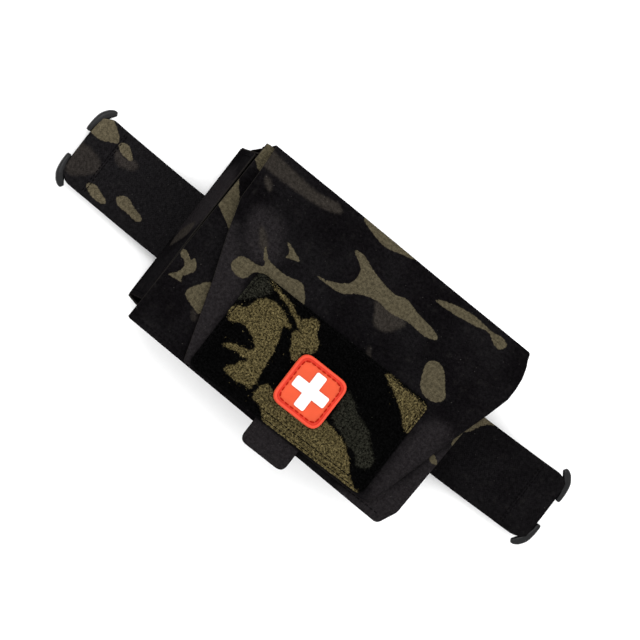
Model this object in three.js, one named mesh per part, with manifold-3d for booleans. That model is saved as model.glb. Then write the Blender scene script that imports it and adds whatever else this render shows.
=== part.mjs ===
// Belt-mounted tourniquet pouch: a laminate sleeve with an over-flap, a slide-out
// insert on a two-handled pull strap, and the folded windlass tourniquet it carries.
//
// Frame, in millimetres: +X runs along the pull strap, +Y towards the flap's fold,
// +Z away from the belt. The origin is the centre of the back panel's outer face.

import * as THREE from 'three';
import { mergeVertices } from 'three/addons/utils/BufferGeometryUtils.js';
import Module from 'manifold-3d';

const wasm = await Module();
wasm.setup();

// ---------------------------------------------------------------- driving dimensions

const GAP = 0.3; // left between pieces that touch on the real object
const LAMINATE = 1.2; // thickness of the laminated fabric panels

// sleeve
const SLEEVE_LEFT = -96.8;
const SLEEVE_RIGHT = 96.0;
const BOX_LOW_Y = -50.6; // outer face of the lower long wall, at its foot
const BOX_HIGH_Y = 55.4; // outer face of the upper long wall
const FRONT_Z = 48.0; // inner face of the front panel
const LOWER_WALL = [[-50.0, 1.35], [-53.2, 36.5], [-61.2, 47.2]]; // flares out towards the front
const LOWER_WALL_CUT = [[-95.8, 0], [95.0, 0], [95.0, 24.0], [86.5, 50.0], [-95.8, 50.0]]; // x, z of its ends
const FLANGE_HIGH_Y = 62.4; // the upper wall turns outward under the front panel
const FRONT_CORNERS = [[-98.2, -62.5], [86.5, -64.5], [92.5, -54.5], [97.0, 62.5], [-95.8, 62.6]];
const FRONT_CORNER_RADIUS = 2.0;

// laser-cut webbing slots in the back panel, clear of the belt loops
const SLOT_LENGTH = 27.0;
const SLOT_WIDTH = 3.2;
const SLOT_X = [-78.0, 0.0, 78.0];
const SLOT_Y = [-19.0, 19.0];

// belt loops
const LOOP_X = [-42.0, 42.0];
const LOOP_WIDTH = 25.4;
const LOOP_THICKNESS = 1.6;
const LOOP_DEPTH = 6.4; // the loop's outer face stands this far off the back panel
const LOOP_TUNNEL_HALF = 33.0; // half of the belt tunnel's height
const LOOP_SHOULDER = 6.0;
const LOOP_END = 50.0;

// flap
const SPINE_FOOT = [56.6, 1.0]; // y, z of the spine's lower edge
const SPINE_HEAD = [63.9, 49.8];
const SPINE_LEFT = -91.5;
const SPINE_RIGHT = 96.0;
const FLAP_OUTLINE = [
  [-92.0, 66.5], [-90.6, 29.5], [-83.4, 8.5], [-73.7, -16.5], [-58.9, -61.1],
  [75.0, -61.1], [79.0, -46.0], [97.0, 17.0], [101.0, 33.5], [96.5, 66.5],
];
const FLAP_CORNER_RADIUS = [0.5, 12, 0.5, 0.5, 3, 8, 6, 10, 10, 0.5];
const FLAP_UNDER = 51.2; // underside of the flap's flat stretch
const FLAP_SECTION = [
  [64.1, 50.7], [63.4, 52.2], [61.2, 53.7], [55.0, 55.4], [44.0, 56.4], [30.0, 56.4],
  [16.0, 54.7], [3.0, 52.9], [-12.0, 51.8], [-62.5, 51.8],
];

// loop field on the flap
const FIELD_X = [-56.0, 68.5];
const FIELD_Y = [-60.2, 4.0];
const FIELD_THICKNESS = 1.5;
const FIELD_RADIUS = 5.0;

// hook-and-loop closure between the flap and the front panel
const CLOSURE_X = [[-52.0, -12.0], [32.0, 70.0]];
const CLOSURE_Y = [-56.0, -36.0];
const CLOSURE_THICKNESS = 0.8;

// patch
const PATCH_CENTRE = [9.0, -32.0];
const PATCH_SIDE = 33.4;
const PATCH_RADIUS = 5.0;
const PATCH_BACKING_SIDE = 28.0;
const PATCH_THICKNESS = 1.8;
const PATCH_BORDER_WIDTH = 3.4;
const PATCH_RELIEF = 0.7;
const CROSS_SPAN = 19.5;
const CROSS_ARM = 6.2;

// pull tab
const TAB_X = [-5.8, 25.4];
const TAB_ROOT_Y = [-64.9, -45.0];
const TAB_FREE_Y = [-77.7, -66.3];
const TAB_Z = [49.7, 50.9];
const TAB_RADIUS = 5.0;

// insert
const INSERT_LEFT = -97.9;
const INSERT_RIGHT = 96.6;
const INSERT_CLEARANCE = 0.4;
const INSERT_BASE_Z = 3.8;
const INSERT_TOP_Z = 46.2;
const STIFFENER_THICKNESS = 3.0;
const BAND_X = [-50.0, 50.0];
const BAND_WIDTH = 25.0;
const BAND_Z = [38.0, 39.0];

// pull strap and its handles
const STRAP_HALF_WIDTH = 22.2;
const STRAP_THICKNESS = 1.3;
const STRAP_Z = 1.9;
const BAR_X = 168.8;
const BAR_RADIUS = 1.5;
const HEM_START_X = 151.5; // where the folded end is sewn back on the strap
const WING_THICKNESS = 3.6;

// tourniquet
const TOURNIQUET_Y = 2.5;
const WEBBING_WIDTH = 38.0;
const WEBBING_THICKNESS = 2.0;
const WEBBING_PITCH = 3.4;
const WEBBING_LAYERS = 5;
const WEBBING_X = [-78.0, 76.0];
const ROD_RADIUS = 4.0;
const PLATE_THICKNESS = 2.0;
const ROD_X = [-46.0, 74.0];
const CLIP_X = [44.0, 62.0];

const COLOURS = {
  laminate: 0x1d1b1e,
  webbing: 0x18171a,
  loopPile: 0x121212,
  hook: 0x202022,
  elastic: 0x141416,
  plastic: 0x2c2c2f,
  patchRed: 0xf2523f,
  patchRim: 0xe8432f,
  patchWhite: 0xf4f2ee,
  foam: 0x252528,
  band: 0x1a1a1d,
  timeStrap: 0xa8a9a6,
};

// ---------------------------------------------------------------- shape helpers

const object = new THREE.Group();

function add(name, geometry, colour, roughness = 0.85) {
  const material = new THREE.MeshStandardMaterial({ color: colour, roughness, metalness: 0 });
  const mesh = new THREE.Mesh(geometry, material);
  mesh.name = name;
  object.add(mesh);
}

function shapeFrom(points) {
  return new THREE.Shape(points.map(([a, b]) => new THREE.Vector2(a, b)));
}

// A polygon whose corners are rounded by an arc of the given radius (one value or one each).
function roundedShape(points, radius, steps = 5) {
  const rounded = [];
  points.forEach((point, i) => {
    const here = new THREE.Vector2(...point);
    const before = new THREE.Vector2(...points[(i + points.length - 1) % points.length]).sub(here);
    const after = new THREE.Vector2(...points[(i + 1) % points.length]).sub(here);
    const wanted = Array.isArray(radius) ? radius[i] : radius;
    const half = Math.acos(before.dot(after) / before.length() / after.length()) / 2;
    const reach = Math.min(wanted / Math.tan(half), before.length() * 0.45, after.length() * 0.45);
    const start = here.clone().add(before.clone().setLength(reach));
    const end = here.clone().add(after.clone().setLength(reach));
    const curve = new THREE.QuadraticBezierCurve(start, here, end);
    curve.getPoints(steps).forEach((p) => rounded.push([p.x, p.y]));
  });
  return shapeFrom(rounded);
}

function rectangle([x0, x1], [y0, y1], radius) {
  const corners = [[x0, y0], [x1, y0], [x1, y1], [x0, y1]];
  return radius ? roundedShape(corners, radius) : shapeFrom(corners);
}

function extrude(shape, depth) {
  return new THREE.ExtrudeGeometry(shape, { depth, bevelEnabled: false, curveSegments: 8 });
}

// The shape lies in X and Y, from z0 up to z1.
function extrudeUp(shape, z0, z1) {
  return extrude(shape, z1 - z0).translate(0, 0, z0);
}

// The shape's coordinates are Y and Z, from x0 to x1.
function extrudeAlongX(shape, x0, x1) {
  const turn = new THREE.Matrix4().makeBasis(
    new THREE.Vector3(0, 1, 0),
    new THREE.Vector3(0, 0, 1),
    new THREE.Vector3(1, 0, 0),
  );
  return extrude(shape, x1 - x0).applyMatrix4(turn).translate(x0, 0, 0);
}

// The shape's coordinates are X and Z, from y0 to y1.
function extrudeAlongY(shape, y0, y1) {
  const turn = new THREE.Matrix4().makeBasis(
    new THREE.Vector3(1, 0, 0),
    new THREE.Vector3(0, 0, 1),
    new THREE.Vector3(0, -1, 0),
  );
  return extrude(shape, y1 - y0).applyMatrix4(turn).translate(0, y1, 0);
}

function box([x0, x1], [y0, y1], [z0, z1]) {
  return extrudeUp(rectangle([x0, x1], [y0, y1]), z0, z1);
}

// The line moved sideways by a distance, to the left of its direction when positive.
function offsetLine(line, distance) {
  return line.map(([a, b], i) => {
    const [a0, b0] = line[Math.max(i - 1, 0)];
    const [a1, b1] = line[Math.min(i + 1, line.length - 1)];
    const length = Math.hypot(a1 - a0, b1 - b0);
    return [a - ((b1 - b0) / length) * distance, b + ((a1 - a0) / length) * distance];
  });
}

// A sheet seen edge-on: the line given a thickness.
function thickLine(line, thickness) {
  const left = offsetLine(line, thickness / 2);
  const right = offsetLine(line, -thickness / 2);
  return shapeFrom([...right, ...left.reverse()]);
}

function solid(geometry) {
  const bare = geometry.clone();
  bare.deleteAttribute('normal');
  bare.deleteAttribute('uv');
  const merged = mergeVertices(bare);
  const triVerts = Uint32Array.from(merged.index.array);
  const vertProperties = Float32Array.from(merged.attributes.position.array);
  return new wasm.Manifold(new wasm.Mesh({ numProp: 3, vertProperties, triVerts }));
}

function geometryOf(manifold) {
  const mesh = manifold.getMesh();
  const geometry = new THREE.BufferGeometry();
  geometry.setAttribute('position', new THREE.BufferAttribute(mesh.vertProperties, 3));
  geometry.setIndex(new THREE.BufferAttribute(mesh.triVerts, 1));
  geometry.computeVertexNormals();
  return geometry;
}

// ---------------------------------------------------------------- sleeve

function addBackPanel() {
  const panel = rectangle([SLEEVE_LEFT, SLEEVE_RIGHT], [BOX_LOW_Y, BOX_HIGH_Y], 2);
  for (const x of SLOT_X) {
    for (const y of SLOT_Y) {
      const across = [x - SLOT_LENGTH / 2, x + SLOT_LENGTH / 2];
      const along = [y - SLOT_WIDTH / 2, y + SLOT_WIDTH / 2];
      panel.holes.push(rectangle(across, along, SLOT_WIDTH * 0.4));
    }
  }
  add('back_panel', extrudeUp(panel, 0, LAMINATE), COLOURS.laminate);
}

// The upper wall is upright and turns outward as a flange; the lower one flares out instead.
function addLongWalls() {
  const innerY = BOX_HIGH_Y - LAMINATE;
  const foot = LAMINATE + 0.1;
  const top = FRONT_Z - 0.2;
  const under = top - LAMINATE;
  const upper = [
    [BOX_HIGH_Y, foot], [BOX_HIGH_Y, under], [FLANGE_HIGH_Y, under], [FLANGE_HIGH_Y, top],
    [innerY, top], [innerY, foot],
  ];
  const wallX = [SLEEVE_LEFT + 1, SLEEVE_RIGHT - 1];
  add('side_wall_upper', extrudeAlongX(shapeFrom(upper), ...wallX), COLOURS.laminate);
  const lower = solid(extrudeAlongX(thickLine(LOWER_WALL, LAMINATE), -120, 120));
  const cut = solid(extrudeAlongY(shapeFrom(LOWER_WALL_CUT), -80, -40));
  add('side_wall_lower', geometryOf(lower.intersect(cut)), COLOURS.laminate);
}

function addFrontPanel() {
  const panel = roundedShape(FRONT_CORNERS, FRONT_CORNER_RADIUS);
  add('front_panel', extrudeUp(panel, FRONT_Z, FRONT_Z + LAMINATE), COLOURS.laminate);
}

// Hook patches on the front panel meet loop patches under the flap.
function addClosure() {
  const hookZ = FRONT_Z + LAMINATE + 0.1;
  const loopZ = FLAP_UNDER - 0.1 - CLOSURE_THICKNESS;
  ['left', 'right'].forEach((side, i) => {
    const patch = rectangle(CLOSURE_X[i], CLOSURE_Y, 3);
    add(`closure_hook_${side}`, extrudeUp(patch, hookZ, hookZ + CLOSURE_THICKNESS), COLOURS.hook);
    add(`closure_loop_${side}`, extrudeUp(patch, loopZ, loopZ + CLOSURE_THICKNESS), COLOURS.loopPile);
  });
}

// Each belt loop is webbing sewn flat to the back panel at both ends, standing off between them.
function addBeltLoops() {
  const near = -0.1 - LOOP_THICKNESS / 2;
  const far = -LOOP_DEPTH + LOOP_THICKNESS / 2;
  const shoulder = LOOP_TUNNEL_HALF + LOOP_SHOULDER;
  const line = [
    [-LOOP_END, near], [-shoulder, near], [-LOOP_TUNNEL_HALF, far],
    [LOOP_TUNNEL_HALF, far], [shoulder, near], [LOOP_END, near],
  ];
  ['left', 'right'].forEach((side, i) => {
    const x0 = LOOP_X[i] - LOOP_WIDTH / 2;
    const profile = thickLine(line, LOOP_THICKNESS);
    add(`belt_loop_${side}`, extrudeAlongX(profile, x0, x0 + LOOP_WIDTH), COLOURS.webbing);
  });
}

// ---------------------------------------------------------------- flap

function addSpine() {
  const profile = thickLine([SPINE_FOOT, SPINE_HEAD], LAMINATE);
  add('flap_spine', extrudeAlongX(profile, SPINE_LEFT, SPINE_RIGHT), COLOURS.laminate);
}

function addFlapPanel() {
  const sheet = solid(extrudeAlongX(thickLine(FLAP_SECTION, LAMINATE), -120, 120));
  const outline = solid(extrudeUp(roundedShape(FLAP_OUTLINE, FLAP_CORNER_RADIUS), 40, 70));
  add('flap_panel', geometryOf(sheet.intersect(outline)), COLOURS.laminate);
}

function addLoopField() {
  const raised = offsetLine(FLAP_SECTION, -(LAMINATE / 2 + 0.1 + FIELD_THICKNESS / 2));
  const sheet = solid(extrudeAlongX(thickLine(raised, FIELD_THICKNESS), -120, 120));
  const outline = solid(extrudeUp(rectangle(FIELD_X, FIELD_Y, FIELD_RADIUS), 40, 70));
  add('loop_field', geometryOf(sheet.intersect(outline)), COLOURS.loopPile, 0.95);
}

function addPullTab() {
  const root = rectangle(TAB_X, TAB_ROOT_Y);
  add('pull_tab_root', extrudeUp(root, ...TAB_Z), COLOURS.webbing);
  const corners = [
    [TAB_X[0], TAB_FREE_Y[0]], [TAB_X[1], TAB_FREE_Y[0]],
    [TAB_X[1], TAB_FREE_Y[1]], [TAB_X[0], TAB_FREE_Y[1]],
  ];
  const tab = roundedShape(corners, [TAB_RADIUS, TAB_RADIUS, 0.3, 0.3]);
  add('pull_tab', extrudeUp(tab, ...TAB_Z), COLOURS.webbing);
}

function centredSquare(side, radius) {
  const half = side / 2;
  const [x, y] = PATCH_CENTRE;
  return rectangle([x - half, x + half], [y - half, y + half], radius);
}

function plusShape(span, arm) {
  const [x, y] = PATCH_CENTRE;
  const s = span / 2;
  const a = arm / 2;
  const corners = [
    [-a, -s], [a, -s], [a, -a], [s, -a], [s, a], [a, a],
    [a, s], [-a, s], [-a, a], [-s, a], [-s, -a], [-a, -a],
  ];
  const radius = [1.2, 1.2, 0.2, 1.2, 1.2, 0.2, 1.2, 1.2, 0.2, 1.2, 1.2, 0.2];
  return roundedShape(corners.map(([cx, cy]) => [x + cx, y + cy]), radius, 3);
}

function addPatch() {
  const backingZ = FLAP_UNDER + LAMINATE + 0.1 + FIELD_THICKNESS + 0.15;
  const baseZ = backingZ + 0.9;
  const faceZ = baseZ + PATCH_THICKNESS + 0.05;
  const backing = centredSquare(PATCH_BACKING_SIDE, 3);
  add('patch_hook_backing', extrudeUp(backing, backingZ, backingZ + 0.8), COLOURS.hook);
  const base = centredSquare(PATCH_SIDE, PATCH_RADIUS);
  add('patch_base', extrudeUp(base, baseZ, baseZ + PATCH_THICKNESS), COLOURS.patchRed, 0.5);
  const border = centredSquare(PATCH_SIDE, PATCH_RADIUS);
  border.holes.push(centredSquare(PATCH_SIDE - 2 * PATCH_BORDER_WIDTH, PATCH_RADIUS * 0.6));
  add('patch_border', extrudeUp(border, faceZ, faceZ + PATCH_RELIEF), COLOURS.patchRim, 0.5);
  const cross = plusShape(CROSS_SPAN, CROSS_ARM);
  add('patch_cross', extrudeUp(cross, faceZ, faceZ + PATCH_RELIEF), COLOURS.patchWhite, 0.5);
}

// ---------------------------------------------------------------- insert

const insertLowY = BOX_LOW_Y + LAMINATE + INSERT_CLEARANCE;
const insertHighY = BOX_HIGH_Y - LAMINATE - INSERT_CLEARANCE;

function addInsertShell() {
  const wallX = [INSERT_LEFT + LAMINATE + 0.1, INSERT_RIGHT];
  const baseZ = [INSERT_BASE_Z, INSERT_BASE_Z + LAMINATE];
  const wallZ = [baseZ[1] + 0.1, INSERT_TOP_Z];
  add('insert_base', box(wallX, [insertLowY, insertHighY], baseZ), COLOURS.laminate);
  add('insert_wall_lower', box(wallX, [insertLowY, insertLowY + LAMINATE], wallZ), COLOURS.laminate);
  add('insert_wall_upper', box(wallX, [insertHighY - LAMINATE, insertHighY], wallZ), COLOURS.laminate);
  const endX = [INSERT_LEFT, INSERT_LEFT + LAMINATE];
  const endZ = [INSERT_BASE_Z, INSERT_TOP_Z];
  add('insert_end_wall', box(endX, [insertLowY, insertHighY], endZ), COLOURS.laminate);
}

function addInsertFittings() {
  const innerY = [insertLowY + LAMINATE + GAP, insertHighY - LAMINATE - GAP];
  const floorZ = INSERT_BASE_Z + LAMINATE + 0.2;
  const stiffenerX = [INSERT_LEFT + 3, INSERT_RIGHT - 2];
  const stiffenerZ = [floorZ, floorZ + STIFFENER_THICKNESS];
  add('insert_stiffener', box(stiffenerX, innerY, stiffenerZ), COLOURS.foam);
  ['left', 'right'].forEach((side, i) => {
    const bandX = [BAND_X[i] - BAND_WIDTH / 2, BAND_X[i] + BAND_WIDTH / 2];
    add(`elastic_band_${side}`, box(bandX, innerY, BAND_Z), COLOURS.elastic);
  });
}

// ---------------------------------------------------------------- pull strap and handles

const strapTop = STRAP_Z + STRAP_THICKNESS;
const hemInner = BAR_RADIUS + GAP;
const barZ = strapTop + hemInner;

function arc(centreX, centreZ, radius, from, to, steps) {
  return Array.from({ length: steps + 1 }, (_, i) => {
    const angle = from + ((to - from) * i) / steps;
    return [centreX + radius * Math.cos(angle), centreZ + radius * Math.sin(angle)];
  });
}

// One strap, folded round the bar at each end and sewn back on itself.
function addPullStrap() {
  const hemOuter = hemInner + STRAP_THICKNESS;
  const quarter = Math.PI / 2;
  const rightEnd = [
    ...arc(BAR_X, barZ, hemOuter, -quarter, quarter, 10),
    [HEM_START_X + 5, strapTop + STRAP_THICKNESS + 0.1], [HEM_START_X, strapTop + STRAP_THICKNESS],
    [HEM_START_X, strapTop],
  ];
  const leftEnd = rightEnd.map(([x, z]) => [-x, z]).reverse();
  const strap = shapeFrom([...rightEnd, ...leftEnd]);
  const tunnel = [...arc(BAR_X, barZ, hemInner, -quarter, quarter, 10), [HEM_START_X + 7, strapTop + 0.1]];
  strap.holes.push(shapeFrom(tunnel));
  strap.holes.push(shapeFrom(tunnel.map(([x, z]) => [-x, z])));
  add('pull_strap', extrudeAlongY(strap, -STRAP_HALF_WIDTH, STRAP_HALF_WIDTH), COLOURS.webbing);
}

// Outline of one wing, which wraps a corner of the strap and stops short of the middle.
function wingShape() {
  const side = STRAP_HALF_WIDTH + 0.4;
  const front = BAR_X + 3.8;
  const wing = new THREE.Shape();
  wing.moveTo(front, 9.0);
  wing.lineTo(front + 3.3, 9.0);
  wing.quadraticCurveTo(front + 4.2, 20.0, BAR_X + 2.2, side + 3.6);
  wing.quadraticCurveTo(BAR_X - 0.8, side + 5.6, BAR_X - 3.2, side + 3.6);
  wing.lineTo(BAR_X - 3.2, side);
  wing.lineTo(front - 0.6, side);
  wing.lineTo(front, side - 0.8);
  return wing;
}

function addHandles() {
  const wing = extrudeUp(wingShape(), barZ - WING_THICKNESS / 2, barZ + WING_THICKNESS / 2);
  const bar = new THREE.CylinderGeometry(BAR_RADIUS, BAR_RADIUS, 2 * STRAP_HALF_WIDTH + 4, 20);
  bar.translate(BAR_X, 0, barZ);
  const upperWing = solid(wing);
  const handle = upperWing.add(upperWing.mirror([0, 1, 0])).add(solid(bar));
  add('handle_right', geometryOf(handle), COLOURS.plastic, 0.45);
  add('handle_left', geometryOf(handle.mirror([1, 0, 0])), COLOURS.plastic, 0.45);
}

// ---------------------------------------------------------------- tourniquet

const bandFloor = INSERT_BASE_Z + LAMINATE + 0.2 + STIFFENER_THICKNESS + 0.4;

// The webbing is folded back and forth on itself.
function addTourniquetBand() {
  const line = [];
  const turn = WEBBING_PITCH / 2;
  for (let layer = 0; layer < WEBBING_LAYERS; layer += 1) {
    const z = bandFloor + WEBBING_THICKNESS / 2 + layer * WEBBING_PITCH;
    const forward = layer % 2 === 0;
    const [start, end] = forward ? WEBBING_X : [WEBBING_X[1], WEBBING_X[0]];
    line.push([start, z]);
    if (layer === WEBBING_LAYERS - 1) {
      line.push([end, z]);
      break;
    }
    const sign = forward ? 1 : -1;
    arc(0, 0, turn, -Math.PI / 2, Math.PI / 2, 6).forEach(([dx, dz]) => {
      line.push([end + sign * dx, z + turn + dz]);
    });
  }
  const half = WEBBING_WIDTH / 2;
  const tidy = line.filter(([a, b], i) => i === 0 || Math.hypot(a - line[i - 1][0], b - line[i - 1][1]) > 0.05);
  const profile = thickLine(tidy, WEBBING_THICKNESS);
  add('tourniquet_band', extrudeAlongY(profile, TOURNIQUET_Y - half, TOURNIQUET_Y + half), COLOURS.band);
}

const plateZ = bandFloor + WEBBING_THICKNESS + (WEBBING_LAYERS - 1) * WEBBING_PITCH + 0.2;
const rodZ = plateZ + PLATE_THICKNESS + 0.2 + ROD_RADIUS;

function addWindlass() {
  const plate = rectangle([-22, 66], [TOURNIQUET_Y - 21, TOURNIQUET_Y + 21], 6);
  add('windlass_base_plate', extrudeUp(plate, plateZ, plateZ + PLATE_THICKNESS), COLOURS.plastic, 0.5);
  const half = (ROD_X[1] - ROD_X[0]) / 2;
  const profile = [
    [0, -half], [ROD_RADIUS * 0.7, -half], [ROD_RADIUS, -half + 1.5], [ROD_RADIUS, half - 1.5],
    [ROD_RADIUS * 0.7, half], [0, half],
  ].map(([r, along]) => new THREE.Vector2(r, along));
  const rod = new THREE.LatheGeometry(profile, 16).rotateZ(-Math.PI / 2);
  rod.translate((ROD_X[0] + ROD_X[1]) / 2, TOURNIQUET_Y, rodZ);
  add('windlass_rod', rod, COLOURS.plastic, 0.4);
}

// The clip is a trough open at the top, and the rod's end is parked in it.
function addWindlassClip() {
  const inner = ROD_RADIUS + 0.4;
  const outer = inner + 2.6;
  const floor = plateZ + PLATE_THICKNESS + 0.15;
  const top = rodZ + ROD_RADIUS + 0.1;
  const outline = [
    [-outer, floor], [-inner, floor], [-inner, top], [-outer, top],
  ];
  ['lower', 'upper'].forEach((side, i) => {
    const sign = i === 0 ? 1 : -1;
    const jaw = outline.map(([y, z]) => [TOURNIQUET_Y + sign * y, z]);
    add(`windlass_clip_${side}`, extrudeAlongX(roundedShape(jaw, 0.8), ...CLIP_X), COLOURS.plastic, 0.45);
  });
  const strapZ = top + 0.2;
  const strapY = [TOURNIQUET_Y - outer - 2, TOURNIQUET_Y + outer + 2];
  add('time_strap', box([CLIP_X[0] - 0.5, CLIP_X[1] + 0.5], strapY, [strapZ, strapZ + 0.9]), COLOURS.timeStrap);
}

// A flat frame with two slots, which the webbing is threaded through.
function addBuckle() {
  const frame = rectangle([-76, -50], [TOURNIQUET_Y - 24, TOURNIQUET_Y + 24], 3);
  for (const x of [-69.5, -56.5]) {
    frame.holes.push(rectangle([x - 3.2, x + 3.2], [TOURNIQUET_Y - 20, TOURNIQUET_Y + 20], 1));
  }
  add('tourniquet_buckle', extrudeUp(frame, plateZ, plateZ + 3.2), COLOURS.plastic, 0.45);
}

// ---------------------------------------------------------------- assembly

addBackPanel();
addLongWalls();
addFrontPanel();
addClosure();
addBeltLoops();
addSpine();
addFlapPanel();
addLoopField();
addPullTab();
addPatch();
addInsertShell();
addInsertFittings();
addPullStrap();
addHandles();
addTourniquetBand();
addWindlass();
addWindlassClip();
addBuckle();

export default object;
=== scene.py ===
import math

import bpy
import numpy as np
from mathutils import Matrix, Vector
from mathutils.geometry import delaunay_2d_cdt


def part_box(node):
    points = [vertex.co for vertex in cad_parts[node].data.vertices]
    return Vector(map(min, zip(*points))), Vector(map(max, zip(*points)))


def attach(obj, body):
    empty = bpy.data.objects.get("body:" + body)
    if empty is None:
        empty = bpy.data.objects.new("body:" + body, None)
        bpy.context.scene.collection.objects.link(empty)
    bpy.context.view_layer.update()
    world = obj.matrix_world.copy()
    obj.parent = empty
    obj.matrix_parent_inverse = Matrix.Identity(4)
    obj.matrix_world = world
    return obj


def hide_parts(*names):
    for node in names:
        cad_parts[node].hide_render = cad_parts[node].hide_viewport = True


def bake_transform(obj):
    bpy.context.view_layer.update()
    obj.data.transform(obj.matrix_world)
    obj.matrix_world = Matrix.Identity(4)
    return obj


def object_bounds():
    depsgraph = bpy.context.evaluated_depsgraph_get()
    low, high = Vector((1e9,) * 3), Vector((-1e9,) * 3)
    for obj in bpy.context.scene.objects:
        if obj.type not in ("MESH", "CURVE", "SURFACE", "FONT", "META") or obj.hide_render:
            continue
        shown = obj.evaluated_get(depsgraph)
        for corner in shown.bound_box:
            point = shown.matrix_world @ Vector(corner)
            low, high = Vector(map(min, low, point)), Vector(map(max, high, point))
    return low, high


# A laminate belt pouch with a slide-out insert, and the folded tourniquet that it carries.
# Lengths are millimetres in the CAD frame until a mesh is made: +X runs along the pull strap,
# +Y towards the flap's fold and +Z away from the belt.

MM = 0.001
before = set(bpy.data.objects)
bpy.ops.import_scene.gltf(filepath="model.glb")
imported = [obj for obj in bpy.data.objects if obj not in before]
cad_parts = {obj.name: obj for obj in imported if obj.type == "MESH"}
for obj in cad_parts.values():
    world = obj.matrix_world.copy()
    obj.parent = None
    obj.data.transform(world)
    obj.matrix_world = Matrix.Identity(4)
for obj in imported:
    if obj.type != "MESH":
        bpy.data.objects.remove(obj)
cad_low, cad_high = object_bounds()


def span(node):
    """The node's lowest and highest corner in millimetres."""
    low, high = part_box(node)
    return np.array(low) / MM, np.array(high) / MM


# ------------------------------------------------------------------ camera, floor and lights

CAMERA_DISTANCE = 4000.0
CAMERA_LENS = 396.5
CAMERA_TARGET = (-0.6, 5.7, 2.4)
CAMERA_DIRECTION = (-0.2128, -0.0579, 1.0)  # from the target towards the camera
CAMERA_UP = (-0.6225, 0.7826, 0.0)
FLOOR_RADIUS = 6000.0
FLOOR_CORNERS = 48


def make_camera():
    """A long lens, far away, looks down at the pouch with its strap running across the picture's diagonal."""
    back = Vector(CAMERA_DIRECTION).normalized()
    right = Vector(CAMERA_UP).cross(back).normalized()
    up = back.cross(right)
    turn = Matrix((right, up, back)).transposed()
    data = bpy.data.cameras.new("camera")
    data.lens = CAMERA_LENS
    data.clip_start, data.clip_end = 0.1, 60.0
    camera = bpy.data.objects.new("camera", data)
    place = (Vector(CAMERA_TARGET) + back * CAMERA_DISTANCE) * MM
    camera.matrix_world = Matrix.Translation(place) @ turn.to_4x4()
    bpy.context.scene.collection.objects.link(camera)
    bpy.context.scene.camera = camera


def add_light(name, place, aim, size, power):
    """A round lamp, aimed at a point. The place, aim and size are metres and the power is watts."""
    data = bpy.data.lights.new(name, "AREA")
    data.shape, data.size, data.energy = "DISK", size, power
    light = bpy.data.objects.new(name, data)
    light.location = place
    light.rotation_euler = (Vector(place) - Vector(aim)).to_track_quat("Z", "Y").to_euler()
    bpy.context.scene.collection.objects.link(light)


def make_studio():
    """A white floor under white light, with a large soft lamp overhead and a smaller one low down."""
    world = bpy.data.worlds.new("studio")
    world.use_nodes = True
    world.node_tree.nodes["Background"].inputs["Color"].default_value = (1, 1, 1, 1)
    world.node_tree.nodes["Background"].inputs["Strength"].default_value = 1.7
    bpy.context.scene.world = world
    bpy.context.scene.view_settings.view_transform = "Standard"
    add_light("overhead", (-0.45, 0.25, 1.1), (0, 0, 0), 0.6, 4.2)
    add_light("edge", (0.5, 0.9, 0.45), (0, 0, 0.02), 0.25, 1.5)


def make_floor():
    """A wide, round sheet of paper at the height of the object's lowest point."""
    low = cad_low.z / MM
    turns = np.linspace(0, 2 * math.pi, FLOOR_CORNERS + 1)[:-1]
    ring = [(FLOOR_RADIUS * math.cos(a), FLOOR_RADIUS * math.sin(a), low) for a in turns]
    floor = make("floor", ring, [list(range(FLOOR_CORNERS))], floor_paper())


# ------------------------------------------------------------------ mesh tools


def make(name, points, faces, material, body=None, slot=None, stands_for=(), **attributes):
    """A mesh object from points in millimetres. Each attribute has one value or vector for each point."""
    mesh = bpy.data.meshes.new(name)
    mesh.from_pydata((np.asarray(points, float) * MM).tolist(), [], faces)
    for key, values in attributes.items():
        values = np.asarray(values, np.float32)
        kind, field = ("FLOAT", "value") if values.ndim == 1 else ("FLOAT_VECTOR", "vector")
        mesh.attributes.new(key, kind, "POINT").data.foreach_set(field, values.ravel())
    mesh.materials.append(material)
    mesh.shade_smooth()
    piece = bpy.data.objects.new(name, mesh)
    bpy.context.scene.collection.objects.link(piece)
    if body:
        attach(piece, body)
    if stands_for:
        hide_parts(*stands_for)
    return piece


def unit(vectors):
    """The vectors, each one unit long."""
    return vectors / np.maximum(np.linalg.norm(vectors, axis=-1, keepdims=True), 1e-9)


def resample(line, step, closed=False):
    """The line again, with points evenly spaced at about the step."""
    line = np.asarray(line, float)
    if closed:
        line = np.vstack([line, line[:1]])
    length = np.r_[0, np.cumsum(np.linalg.norm(np.diff(line, axis=0), axis=1))]
    count = max(int(round(length[-1] / step)), 3)
    at = np.linspace(0, length[-1], count + 1)
    if closed:
        at = at[:-1]
    return np.stack([np.interp(at, length, axis) for axis in line.T], axis=1)


def smooth_line(points, step, closed=False):
    """A smooth curve through the points, as evenly spaced points."""
    points = np.asarray(points, float)
    if closed:
        around = np.vstack([points[-1:], points, points[:2]])
    else:
        around = np.vstack([2 * points[0] - points[1], points, 2 * points[-1] - points[-2]])
    t = np.linspace(0, 1, 12, endpoint=False)[:, None]
    parts = []
    for a, b, c, d in zip(around, around[1:], around[2:], around[3:]):
        square, cube = 2 * a - 5 * b + 4 * c - d, 3 * b - a - 3 * c + d
        parts.append(b + ((c - a) * t + square * t**2 + cube * t**3) / 2)
    if not closed:
        parts.append(points[-1:])
    return resample(np.vstack(parts), step, closed)


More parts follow.
